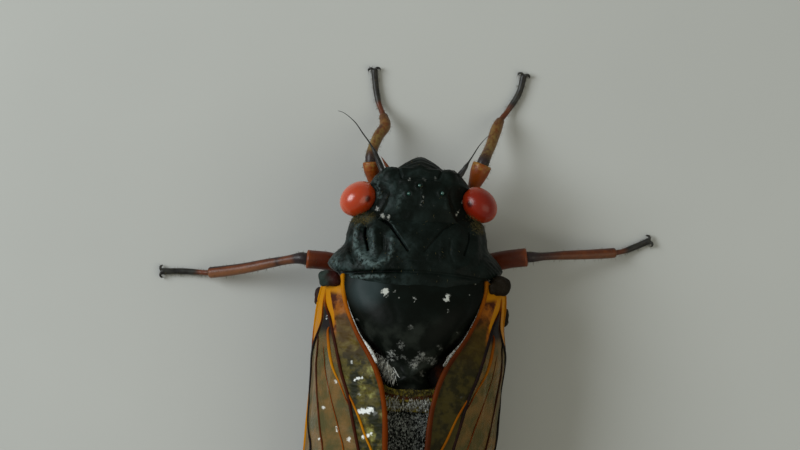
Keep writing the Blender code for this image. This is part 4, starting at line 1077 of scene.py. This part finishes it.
def collar_relief(x, along):
    """Height of the collar's slits, swellings, hind groove and wrinkles, and its painted light and
    shade: highlights on swellings, flank and hind band, shade in slits and groove.
    """
    side = np.abs(x)
    behind = along - COLLAR_GROOVE - 0.02 * side * side
    lift = traced(side, along, COLLAR_FOLDS)
    lift += 0.05 * hump(behind - 0.35, 0.25) - 0.13 * hump(behind, 0.1)
    # pale is painted light and shade: highlights on swellings and the left flank, shade in the
    # slits
    pale = traced(side, along, COLLAR_LIGHT_AND_SHADE) + 0.45 * eased(x, 4.1, 4.8)
    # painted highlight across the hind collar, and painted shade in the hind groove
    pale += 0.3 * hump(along - 6.6, 0.3) * eased(side, 1.0, 3.0) - 0.6 * hump(behind, 0.09)
    # painted highlight on the band behind the groove
    pale += 0.9 * hump(behind - 0.27, 0.15) * eased(side, 1.0, 2.4)
    flange = eased(side, 3.9, 4.6) * eased(along, 5.6, 6.2)
    lines = np.sin(from_line(side, along, FLANGE_LINES[:2]) * FULL_TURN / FLANGE_LINES[2])
    lift = lift * np.where(x > 0.0, 1.4, 0.6) + 0.012 * lines * flange
    # the painted light and shade are kept to the left side, towards the light
    return lift, pale * eased(x, -0.3, 1.5)


def from_edge(count):
    """How many places each of a row is from its nearer end."""
    return np.minimum(np.arange(count), np.arange(count)[::-1])


def raised(rings, lift, edge=3):
    """Move a grid out along its own directions by a lift that fades at its side edges."""
    normals = grid_normals(rings)
    normals *= np.where(normals[:, :, 2:].mean() < 0.0, -1.0, 1.0)
    lift = lift * np.minimum(from_edge(rings.shape[1]) / edge, 1.0)
    return rings + normals * lift[:, :, None]


def collar_form():
    """The collar: slanted slits, swellings, a banded hind margin and thin side flanges."""
    rings = body_rings(COLLAR_ROWS, 170, 320, 2.5, COLLAR_FLOOR)
    x, along, _ = np.moveaxis(rings, -1, 0)
    along += np.clip((along - 6.0) / 1.6, 0.0, 1.0) ** 2 * (0.3 - 0.5 * (x / 4.4) ** 2)
    lift, ridge = collar_relief(x, along)
    lift += rough(rings, (0.03, 0.5, 1), (0.012, 0.16, 2))
    return loft(raised(rings, lift, 6), ridge=ridge)


def shield_form():
    """The smooth domed back shield with its raised cross, side rims and faint lines."""
    rings = body_rings(SHIELD_ROWS, 150, 150, 2.2, SHIELD_FLOOR)
    side, along = np.abs(rings[:, :, 0]), rings[:, :, 1]
    cross = from_line(side, np.abs(along - 13.0), (0.0, 0.0), (1.45, 0.85))
    lift = 0.16 * hump(cross, 0.22) + traced(side, along, SHIELD_DIPS)
    lift -= 0.16 * hump(np.hypot(side, (along - 13.65) * 1.2), 0.34)
    lift += rough(rings, (0.02, 1.3, 5), (0.006, 0.3, 6))
    edge = from_edge(150)
    lift += 0.05 * hump(edge - 12.0, 5.0) - 0.04 * hump(edge - 24.0, 6.0)
    return loft(raised(rings, lift))


def chalk_line(side_name):
    """The waxy line between the shield and a wing's inner edge."""
    edge = wing_points(np.linspace(7.9, 12.35, 70), np.zeros(70), side_name)
    inward = unit(np.cross(np.gradient(edge, axis=0), (0.0, 0.0, -SIDES[side_name])))
    radii = spread((0.015, 0.022, 0.03, 0.034, 0.036, 0.05, 0.11, 0.1), 70)
    radii *= 1.0 + rough(edge, (0.25, 0.22, 15))
    path = edge + inward * (0.09 + radii[:, None]) + (0.0, 0.0, 0.02)
    return tube(path, radii, 12, waxy=CHALK_AND_SHADE[side_name])


def band_form():
    """The ribbed band behind the shield."""
    rings = body_rings(BAND_ROWS, 50, 120, 2.2, BAND_FLOOR)
    ribs = 0.06 * np.sin(rings[:, :, 1] * FULL_TURN / BAND_RIB_SPACING)
    return loft(raised(rings, ribs + rough(rings, (0.06, 0.5, 8))))


def build_back():
    """Collar, shield with its chalky edges, and the olive band behind it."""
    piece("collar", collar_form(), "black_shell", ("pronotum",))
    piece("back_shield", shield_form(), "satin_shield", ("mesonotum",))
    for name in SIDES:
        piece("shield_edge_" + name, chalk_line(name), "chalk_edge")
    piece("olive_band", band_form(), "olive_band", ("metanotum",))


def belly_form():
    """The underside of the thorax, with the grooves between its plates."""
    rings = body_rings(BELLY_ROWS, 110, 140, 2.7)
    x, along, up = np.moveaxis(rings, -1, 0)
    lift = rough(rings, (0.06, 0.8, 9), (0.015, 0.25, 10)) + traced(along, up, BELLY_GROOVES)
    lift -= 0.12 * hump(along - 7.75, 0.14) + 0.1 * hump(along - 11.6 - 0.1 * np.abs(x), 0.12)
    lift -= 0.08 * hump(x, 0.12) * (up < 3.2)
    normals = grid_normals(rings, ring=True)
    outward = rings - rings.mean(axis=1, keepdims=True)
    facing = np.sign((outward * normals).sum(axis=2, keepdims=True))
    return loft(rings + normals * facing * lift[:, :, None])


def abdomen_form():
    """The abdomen: overlapping rings with lipped hind edges, and its pointed end."""
    ends = np.array(SEGMENT_ENDS)[:, None]
    stations = np.append(ends[:-1] + np.diff(ends, axis=0) * SEGMENT_STEPS, ends[-1])
    lips = np.append(np.tile(SEGMENT_STEPS, len(ends) - 1), 0.5)
    rings = body_rings(ABDOMEN_ROWS, stations, 120, 2.2)
    outward = rings - rings.mean(axis=1, keepdims=True)
    angle = np.arctan2(outward[:, :, 2], np.abs(rings[:, :, 0]))
    lift = (0.11 * lips ** 1.5 - 0.05 * hump(lips, 0.08))[:, None]
    lift = lift - 0.16 * hump(angle + 0.42, 0.07) - 0.05 * hump(angle - 0.1, 0.05)
    lift += rough(rings, (0.03, 0.6, 11))
    outward[:, :, 1] = 0.0
    return loft(rings + unit(outward) * lift[:, :, None], lip=lips[:, None])


def build_underside():
    """Thorax underside and abdomen."""
    piece("belly_shell", belly_form(), "brown_belly", ("prothorax_underside", "thorax"))
    piece("abdomen_rings", abdomen_form(), "black_abdomen",
          ("abdomen_front", "abdomen_middle", "abdomen_rear", "abdomen_tip"))


def rounding(along, start):
    """How far an edge of the wing has closed on the tip, from 0 to 1."""
    reach = np.clip((along - start) / (WING_TIP[1] - start), 0.0, 1.0)
    return 1.0 - np.sqrt(1.0 - reach ** 2)


def wing_points(along, across, side_name, drop=0.0):
    """Places on a folded wing: across runs from the inner edge (0) to the outer (1)."""
    values = track(WING_ROWS)(along.reshape(-1)).reshape(along.shape + (5,))
    outer_x, outer_z, inner_x, inner_z, bulge = np.moveaxis(values, -1, 0)
    outer_x = outer_x * (1.0 - WING_TUCK[side_name] * eased(along, TUCK_START, TUCK_END))
    outer_x = outer_x * (1.0 - WING_PINCH[side_name] * hump(along - 10.0, 1.4))
    outer = rounding(along, OUTER_ROUNDING_START)
    inner = rounding(along, INNER_ROUNDING_START)
    outer_x = outer_x + (WING_TIP[0] - outer_x) * outer
    outer_z = outer_z + (WING_TIP[2] - outer_z) * outer
    inner_x = inner_x + (WING_TIP[0] - inner_x) * inner
    inner_z = inner_z + (WING_TIP[2] - inner_z) * inner
    chord_x = outer_x - inner_x
    chord_z = outer_z - inner_z
    length = np.maximum(np.hypot(chord_x, chord_z), 1e-6)
    swell = bulge * (1.0 - inner) * np.sin(math.pi * across) - drop
    x = inner_x + chord_x * across - chord_z / length * swell
    z = inner_z + chord_z * across + chord_x / length * swell
    return np.stack([x * SIDES[side_name], along, z], axis=-1)


def line_across(places, along):
    """Where across the wing a line runs, at many places along it."""
    return track(places)(along.reshape(-1))[:, 0].reshape(along.shape)


def forewing_marks(along, across):
    """Values that colour the membrane: hind field, leathery root, dark cell and shades."""
    claval, radius, strip = (line_across(places, along)
                             for places in (CLAVAL_VEIN, RADIUS_VEIN, ROOT_STRIP))
    field = 1.0 - eased(across - claval, -0.01, 0.02)
    costal = eased(across - radius, -0.01, 0.03) * (1.0 - eased(along, 11.3, 12.0))
    inner = eased(across - strip, -0.05, 0.01) * field * (1.0 - eased(along, 9.4, 11.6))
    root = 1.0 - eased(along + 0.3 * across, 8.05, 9.2)
    red = 0.45 * (1.0 - eased(along, 8.9, 10.6)) * field
    cell = eased(across - claval, 0.0, 0.04) * eased(radius - across, 0.0, 0.04)
    shade = cell * (1.0 - eased(along, 10.4, 11.3)) * eased(along, 8.9, 9.4)
    shade += 0.35 * cell * (1.0 - eased(along, 11.0, 12.5)) * eased(radius - across, 0.15, 0.3)
    shade += traced(along, across * 9.0, WING_SMUDGES)
    return {"clavus": field * (1.0 - eased(along, 21.5, 24.0)),
            "leather": np.max([costal, inner, root, red], axis=0),
            "shade": np.clip(shade, 0.0, 1.0)}


def sheet(grid, waves, marks):
    """A closed thin sheet over a grid of points, waved along its own directions."""
    index = np.arange(waves.size).reshape(waves.shape)
    faces = grid_faces(*waves.shape)
    faces += [tuple(corner + waves.size for corner in reversed(face)) for face in faces]
    border = np.concatenate([index[0], index[1:, -1], index[-1, -2::-1], index[-2:0:-1, 0]])
    for here, after in zip(border.tolist(), np.roll(border, -1).tolist()):
        faces.append((here, after, after + waves.size, here + waves.size))
    normals = grid_normals(grid)
    middle = grid + normals * waves[:, :, None]
    points = (middle + normals * MEMBRANE_HALF, middle - normals * MEMBRANE_HALF)
    doubled = {name: np.tile(np.broadcast_to(values, waves.shape).reshape(-1), 2)
               for name, values in marks.items()}
    return Form(points, faces, **doubled)


def forewing_sheet(side_name):
    """The forewing's clear skin, softly pleated between its veins."""
    along, across = np.meshgrid(np.linspace(WING_START, WING_END, 190),
                                np.linspace(0.0, 1.0, 70), indexing="ij")
    grid = wing_points(along, across, side_name)
    seed = 21 if side_name == "left" else 22
    waves = rough(grid, (0.05, 1.4, seed), (0.025, 0.55, seed + 4))
    waves *= np.minimum(np.minimum(across, 1.0 - across) / 0.06, 1.0)
    return sheet(grid, waves, forewing_marks(along, across))


def vein_tube(places, radii, hues, side_name, drop=0.0):
    """One vein laid along the wing's surface."""
    count = max(8, 6 * len(places))
    along, across = smooth_path(np.multiply(places, (1.0, WING_WIDTH)), count).T
    path = wing_points(along, np.clip(across / WING_WIDTH, 0.0, 1.0), side_name, drop)
    sizes = np.interp(np.linspace(0.0, 1.0, count), np.linspace(0.0, 1.0, len(radii)), radii)
    return tube(path, sizes, 8, hue=hues)


def edge_tube(across, side_name, radii, hues):
    """The thick vein along an edge of the wing."""
    stations = np.linspace(WING_START, WING_END, 160)
    sizes, shades = (np.interp(stations, EDGE_STATIONS, row) for row in (radii, hues))
    return tube(wing_points(stations, across, side_name), sizes, 10, hue=shades)


def forewing_veins(side_name):
    """Every vein of a forewing, with its two edges and its tip, side by side."""
    forms = [vein_tube(*vein, side_name, -VEIN_LIFT) for vein in FOREWING_VEINS.values()]
    forms.append(edge_tube(1.0, side_name, *COSTAL_EDGE[side_name]))
    forms.append(edge_tube(0.0, side_name, *INNER_EDGE))
    tip = wing_points(np.full(24, WING_END), np.linspace(0.0, 1.0, 24), side_name)
    return joined([*forms, tube(tip, 0.05, 8, hue=0.4)])


def hindwing_places(part, step):
    """Places along and across a hindwing; step runs from -1 to 1 between its edges."""
    half = 0.12 + 0.16 * np.minimum(part / 0.3, 1.0)
    half = half * np.sqrt(1.0 - (np.maximum(part - 0.5, 0.0) / 0.51) ** 2)
    return HINDWING_START + (HINDWING_END - HINDWING_START) * part, 0.45 + half * step


def hindwing_sheet(side_name):
    """The folded hindwing beneath, as one thin sheet."""
    part, step = np.meshgrid(np.linspace(0.0, 1.0, 90), np.linspace(-1.0, 1.0, 40),
                             indexing="ij")
    grid = wing_points(*hindwing_places(part, step), side_name, HINDWING_DROP)
    marks = {"clavus": 0.5, "leather": 0.0, "shade": 0.0}
    return sheet(grid, rough(grid, (0.06, 1.1, 31)), marks)


def hindwing_veins(side_name):
    """A few long veins on the hindwing."""
    forms = []
    for share in (-0.98, -0.5, -0.1, 0.35, 0.7, 0.98):
        places = np.transpose(hindwing_places(np.linspace(0.02, 0.96, 12), share))
        forms.append(vein_tube(places, (0.05, 0.045, 0.03), (0.1, 0.3, 0.5), side_name,
                               HINDWING_DROP))
    return joined(forms)


def knob_form(side_name):
    """The knob at a wing's root and the small lump behind it."""
    side = SIDES[side_name]
    middle, half, behind = KNOBS[side_name]
    knob, normals = melted([block((5.1 * side, middle, 6.15), (0.66, half, 0.52)),
                            ball((4.7 * side, 7.6, 6.4), (0.34, 0.4, 0.4))], 0.05, 4)
    knob.points += normals * rough(knob.points, (0.1, 0.38, 12))[:, None]
    knob.marks["outer"] = eased(np.abs(knob.points[:, 0]), 4.6, 5.7)
    lump = block(behind, (0.29, 0.55, 0.36))
    lump.points += rough(lump.points, (0.06, 0.3, 14))[:, None]
    lump.marks["outer"] = 0.4
    return joined([knob, lump])


def build_wings():
    """Forewings and hindwings with their veins, and the knobs at their roots."""
    for name in SIDES:
        piece("forewing_skin_" + name, forewing_sheet(name), "forewing_skin",
              ("forewing_" + name,))
        piece("forewing_veins_" + name, forewing_veins(name), "wing_vein")
        piece("hindwing_skin_" + name, hindwing_sheet(name), "hindwing_skin",
              ("hindwing_" + name,))
        piece("hindwing_veins_" + name, hindwing_veins(name), "wing_vein")
        piece("wing_knob_" + name, knob_form(name), "wing_knob", ("wing_hinge_" + name,))


def limb(line, first, last, shape, crowding=1.0, bluntness=0.35, **marks):
    """One part of a leg between two places of its middle line, with its front side marked."""
    path = smooth_path(line, LIMB_COUNT, first, last, crowding)
    form = tube(path, spread(shape, LIMB_COUNT), LIMB_SIDES, bluntness, **marks)
    rings = form.points[:-2].reshape(-1, LIMB_SIDES, 3)
    outward = unit(rings - rings.mean(axis=1, keepdims=True))
    form.marks["front"] = np.append(-outward[:, :, 1], (0.0, 0.0))
    return form


def spike(root, tip, radius, **marks):
    """A short pointed spine."""
    steps = np.linspace(0.0, 1.0, 10)
    path = np.add(root, np.subtract(tip, root) * steps[:, None])
    return tube(path, radius * (1.0 - 0.92 * steps ** 1.3), 8, **marks)


def thigh_form(line, fore, left):
    """A swollen thigh; a fore one narrows, then flares like a cup to its bright rim."""
    if not fore:
        rim = np.interp(np.arange(40), (34.0, 37.0, 39.0), (0.0, 0.3, 0.62))
        return limb(line, 0.0, KNEE_PLACE, (0.3, 0.42, 0.53, 0.58, 0.59, 0.58, 0.57, 0.56, 0.57),
                    1.0, 0.15, rim=rim, red=0.8 - 0.8 * rim,
                    dark=(0.8, 0.5, 0.1, 0.0, 0.0, 0.0, 0.0))
    shape = np.array((0.3, 0.38, 0.42, 0.42, 0.37, 0.3, 0.31, 0.4, 0.5, 0.53))
    forms = [limb(line, 0.0, KNEE_PLACE, shape * (1.0 if left else 1.13), 1.0, 0.15,
                  rim=np.linspace(-0.8, 1.0, 20).clip(0.0), dark=(0.6, 0.1, 0.0))]
    path = smooth_path(line, 9, 0.0, KNEE_PLACE)
    for index in (3, 4, 6):
        ahead = unit(path[index + 1] - path[index])
        forms.append(spike(path[index] - (0.0, 0.0, 0.3),
                           path[index] + ahead * 0.35 - (0.0, 0.0, 0.95), 0.12, dark=0.9))
    if left:
        forms.append(spike((1.8, 0.95, 2.5), (2.4, 0.05, 2.55), 0.15, rim=0.5))
    return joined(forms)


def shin_form(line, leg, side):
    """A slender shin: black at its base, blunt at its end, with spines on a hind one."""
    left = side > 0.0
    if leg.startswith("fore"):
        shape = (0.36, 0.37, 0.33, 0.32, 0.33, 0.34, 0.34, 0.26)
        # pale marks a painted pinkish highlight
        marks = {"dark": (0.9, 0.85, 0.35, 0.1, 0.05, 0.1, 0.1, 0.5), "pale": (0.0, 0.5, 0.8, 0.8),
                 "olive": (0.5, 0.9, 0.8, 0.5), "rim": (0.0, 0.0, 0.1, 0.3)}
    else:
        shape = np.array((0.36, 0.35, 0.28, 0.26, 0.28, 0.3, 0.31, 0.32, 0.33, 0.33))
        shape *= 1.04 if left else 0.94
        bands = (1.0, 0.25, 0.2, 0.65, 0.1) if left else (0.8, 0.7, 0.6, 0.5, 0.3)
        # pale marks a painted pinkish highlight, stronger on the left legs, towards the light
        marks = {"dark": (1.0, 1.0, *bands, 0.0, 0.0, 0.0, 0.0, 0.0, 0.1, 0.2),
                 "pale": (0.1, 0.4, 0.9, 1.0) if left else (0.1, 0.2, 0.4, 0.5),
                 "rim": (0.0, 0.0, 0.0, 0.0, 0.15)}
    forms = [limb(line, KNEE_PLACE - 0.05, ANKLE_PLACE, shape, 1.25, **marks)]
    if leg.startswith("hind"):
        path = smooth_path(line, 24, KNEE_PLACE, ANKLE_PLACE)
        forms += [spike(root, root + (side * 0.5, 0.45, -0.4), 0.09, rim=0.4)
                  for root in path[12:24:3]]
    return joined(forms)


def foot_form(line):
    """A thin red foot base, the thicker black foot and two short claws spread sideways."""
    last = len(line) - 1
    forms = [limb(line, ANKLE_PLACE - 0.08, last, FOOT_RADII, 1.0, 0.5, rusty=1.0)]
    path = smooth_path(line, 40, ANKLE_PLACE, last)
    ahead = unit(path[-1] - path[-3])
    for side in SIDES.values():
        aside = np.cross(ahead, (0.0, 0.0, side))
        claw = [path[-1] + ahead * forward + aside * out + (0.0, 0.0, up)
                for forward, out, up in CLAW]
        forms.append(tube(smooth_path(claw, 18), spread(CLAW_RADII, 18), 8))
    form = joined(forms)
    form.points[:, 2] = np.maximum(form.points[:, 2], 0.0)
    return form


def hip_form(hip, toward):
    """The hip and the small ring between it and the thigh."""
    skin, normals = melted([ball(hip, (0.74, 0.84, 0.58)),
                            ball(np.add(hip, (0.0, 0.0, 0.35)), (0.7, 0.7, 0.5)),
                            ball(hip + np.subtract(toward, hip) * 0.75, (0.42, 0.42, 0.38))],
                           0.08, 4)
    skin.points += normals * rough(skin.points, (0.05, 0.5, 13))[:, None]
    return skin


def build_legs():
    """Six legs: hip, thigh, shin and foot, closed at every joint."""
    for leg, (hip, line) in LEGS.items():
        side = math.copysign(1.0, hip[0])
        line = (tuple(np.add(hip, line[0]) / 2.0), *line[1:])
        piece(leg + "_hip", hip_form(hip, line[0]), "brown_belly", (leg + "_coxa",))
        piece(leg + "_thigh", thigh_form(line, leg.startswith("fore"), side > 0.0), "brown_leg",
              (leg + "_femur",))
        piece(leg + "_shin", shin_form(line, leg, side), "brown_leg", (leg + "_tibia",))
        piece(leg + "_foot", foot_form(line), "black_horn", (leg + "_tarsus",))


def surface_samples(thing, count, seed, wanted):
    """Random places on a piece with their outward directions, kept by a wanted share."""
    mesh = thing.data
    mesh.calc_loop_triangles()
    corners = np.zeros(len(mesh.loop_triangles) * 3, dtype=int)
    mesh.loop_triangles.foreach_get("vertices", corners)
    points = np.zeros(len(mesh.vertices) * 3)
    mesh.vertices.foreach_get("co", points)
    triangles = ((points.reshape(-1, 3) - ORIGIN) / MM)[corners.reshape(-1, 3)]
    normals = np.cross(triangles[:, 1] - triangles[:, 0], triangles[:, 2] - triangles[:, 0])
    areas = np.linalg.norm(normals, axis=1)
    normals /= np.maximum(areas[:, None], 1e-12)
    draw = np.random.default_rng(seed)
    x, along, _ = triangles.mean(axis=1).T
    weights = areas * wanted(x, along, normals[:, 2])
    chosen = draw.choice(len(triangles), count, p=weights / weights.sum())
    shares = draw.dirichlet((1.0, 1.0, 1.0), count)
    return (triangles[chosen] * shares[:, :, None]).sum(axis=1), normals[chosen], draw


def hair_form(roots, leans, lengths, radius, droop):
    """Tapered hairs of two lengths each, from roots sunk a little in the skin."""
    leans = unit(leans)
    side = unit(np.cross(leans, (0.13, 0.21, 0.97)))
    rise = np.cross(side, leans)
    lengths = lengths[:, None]
    bends = roots + lengths * (leans * 0.55 + droop * 0.3)
    rings = [middle + radius * share * (math.cos(angle) * side + math.sin(angle) * rise)
             for middle, share in ((roots - leans * ROOT_DEPTH, 1.0), (bends, 0.75))
             for angle in HAIR_ANGLES]
    points = np.stack([*rings, roots + lengths * (leans + droop)], axis=1)
    faces = (np.arange(len(roots))[:, None, None] * points.shape[1] + HAIR_FACES).reshape(-1, 3)
    return Form(points, faces.tolist())


def coat(name, form, roots, finish, slot):
    """A piece of hair, each hair a small patch at its root's place on the body's unwrap."""
    thing = piece(name, form, finish)
    turn = np.arctan2(roots[:, 0], roots[:, 2] - 5.0) / FULL_TURN + 0.5
    length = np.clip((roots[:, 1] + 6.0) / 50.0, 0.0, 1.0)
    places = (np.column_stack([turn, length])[:, None, :] * 0.99 + HAIR_PATCH).reshape(-1, 2)
    corners = np.zeros(len(thing.data.loops), dtype=int)
    thing.data.loops.foreach_get("vertex_index", corners)
    layer = thing.data.uv_layers.new(name="OFBake")
    layer.data.foreach_set("uv", places[corners].reshape(-1).astype("f"))


def grow(name, skin, count, seed, wanted, length, radius, lie, finish, slot):
    """Cover part of a piece with hairs that lean along a lie."""
    roots, normals, draw = surface_samples(bpy.data.objects[skin], count, seed, wanted)
    scatter = draw.normal(0.0, 0.25, (count, 3))
    leans = normals * draw.uniform(0.35, 0.9, count)[:, None] + lie + scatter
    lengths = length * draw.uniform(0.55, 1.25, count)
    form = hair_form(roots, leans, lengths, radius, (0.0, 0.25, -0.25) - normals * 0.15)
    form.points[:, 2] = np.maximum(form.points[:, 2], HAIR_LEVEL)
    coat(name, form, roots, finish, slot)


# Hair: name, skin, count, where it grows by x, along and upward facing, length, radius, lie,
# finish, slot
HAIR_SEED = 41
HAIR_ROWS = (
    ("pile_front", "abdomen_rings", 9000,
     lambda x, along, facing: eased(-along, -19.5, -14.8) * eased(along, 15.15, 15.5)
     * eased(facing, -0.2, 0.4) + 0.02, 0.15, 0.024, (0.0, 0.75, 0.2), "grey_pile", "shell"),
    ("pile_rear", "abdomen_rings", 9000, lambda x, along, facing: eased(along, 15.0, 19.0) + 0.05,
     0.2, 0.016, (0.0, 0.85, 0.0), "grey_pile", "shell"),
    ("white_pile", "olive_band", 520,
     lambda x, along, facing: eased(along, 14.15, 14.5) * eased(-along, -15.0, -14.8)
     * eased(facing, 0.1, 0.5) + 1e-5, 0.42, 0.024, (0.0, 0.9, 0.1), "white_pile", "band"),
    ("band_hair", "olive_band", 900,
     lambda x, along, facing: eased(facing, 0.1, 0.5) * eased(-along, -14.6, -14.2) + 1e-5,
     0.3, 0.014, (0.0, 0.7, 0.2), "gold_hair", "band"),
    ("shield_tufts", "back_shield", 420,
     lambda x, along, facing: hump(from_line(x, along, (1.95, 12.0), (1.05, 12.9)), 0.18)
     * (x > 0.0) + 1e-7, 0.7, 0.036, (-0.25, 0.6, 0.1), "tuft_hair", "shell"),
    ("cheek_hair", "head_shell", 1800,
     lambda x, along, facing: hump(from_line(np.abs(x), along, (3.3, 3.75)), 0.4) + 0.002,
     0.3, 0.01, (0.0, 0.45, 0.1), "gold_hair", "shell"),
    ("collar_hair", "collar", 800,
     lambda x, along, facing: hump(from_line(np.abs(x), along, (3.5, 3.95)), 0.28) + 0.002,
     0.2, 0.009, (0.0, 0.5, 0.0), "gold_hair", "shell"),
    ("belly_hair", "belly_shell", 3500, lambda x, along, facing: (facing < 0.5) + 1e-5,
     0.4, 0.013, (0.0, 0.7, -0.1), "white_pile", "belly"))


def build_hair():
    """Pile on the abdomen, white tufts behind the shield and fine hair on head and legs."""
    for seed, (name, skin, count, *rest) in enumerate(HAIR_ROWS, HAIR_SEED):
        grow(name, skin, count, seed, *rest)
    for leg in LEGS:
        for index, part in enumerate(("thigh", "shin", "foot")):
            grow(leg + "_" + part + "_hair", leg + "_" + part, 170, 50 + index,
                 lambda x, along, facing: 1.0, 0.2, 0.009, (0.0, 0.1, -0.1), "gold_hair",
                 "leg" if part != "foot" else "foot")


def add_floor():
    """A wide level floor."""
    mesh = bpy.data.meshes.new("floor")
    corners = [(x * FLOOR_REACH, y * FLOOR_REACH, 0.0) for x, y in
               ((-1, -1), (1, -1), (1, 1), (-1, 1))]
    mesh.from_pydata(corners, [], [(0, 1, 2, 3)])
    mesh.materials.append(bpy.data.materials["pale_floor"])
    floor = put("floor", mesh)


def add_light(name, place, size, power, colour):
    """A soft square light aimed at the insect's back; its place is in millimetres."""
    lamp = bpy.data.lights.new(name, "AREA")
    lamp.shape = "SQUARE"
    lamp.size = size * MM
    lamp.energy = power
    lamp.color = colour
    thing = put(name, lamp)
    thing.location = Vector(ORIGIN) + Vector(place) * MM
    aim = Vector(ORIGIN) + Vector(LIGHT_AIM) * MM
    thing.rotation_mode = "QUATERNION"
    thing.rotation_quaternion = (aim - thing.location).to_track_quat("-Z", "Y")


def add_lights():
    """Low daylight from the insect's left, a weak warm fill and a dim surround."""
    add_light("window", (208.0, -52.0, 160.0), 150.0, 0.57, (0.92, 0.975, 1.0))
    add_light("fill", (-170.0, 60.0, 210.0), 200.0, 0.13, (1.0, 0.96, 0.78))
    world = bpy.data.worlds.new("surround")
    world.use_nodes = True
    background = world.node_tree.nodes["Background"].inputs
    background["Color"].default_value = (0.98, 1.0, 0.89, 1.0)
    background["Strength"].default_value = 0.26
    bpy.context.scene.world = world


def add_camera():
    """A long lens straight above the insect's front half, head towards the top."""
    lens = bpy.data.cameras.new("camera")
    lens.lens = LENS
    lens.sensor_width = SENSOR
    lens.clip_start = 0.01
    lens.clip_end = 5.0
    camera = put("camera", lens)
    height = VIEW_LEVEL + VIEW_WIDTH * LENS / SENSOR
    camera.location = Vector(ORIGIN) + Vector((*VIEW_MIDDLE, height)) * MM
    camera.rotation_euler = (0.0, 0.0, math.pi + VIEW_ROLL)
    bpy.context.scene.camera = camera


def main():
    """Dress the whole insect and set the stage."""
    bpy.context.scene.view_settings.view_transform = "Standard"
    make_finishes()
    build_head()
    build_back()
    build_underside()
    build_wings()
    build_legs()
    build_hair()
    add_floor()
    add_lights()
    add_camera()


main()
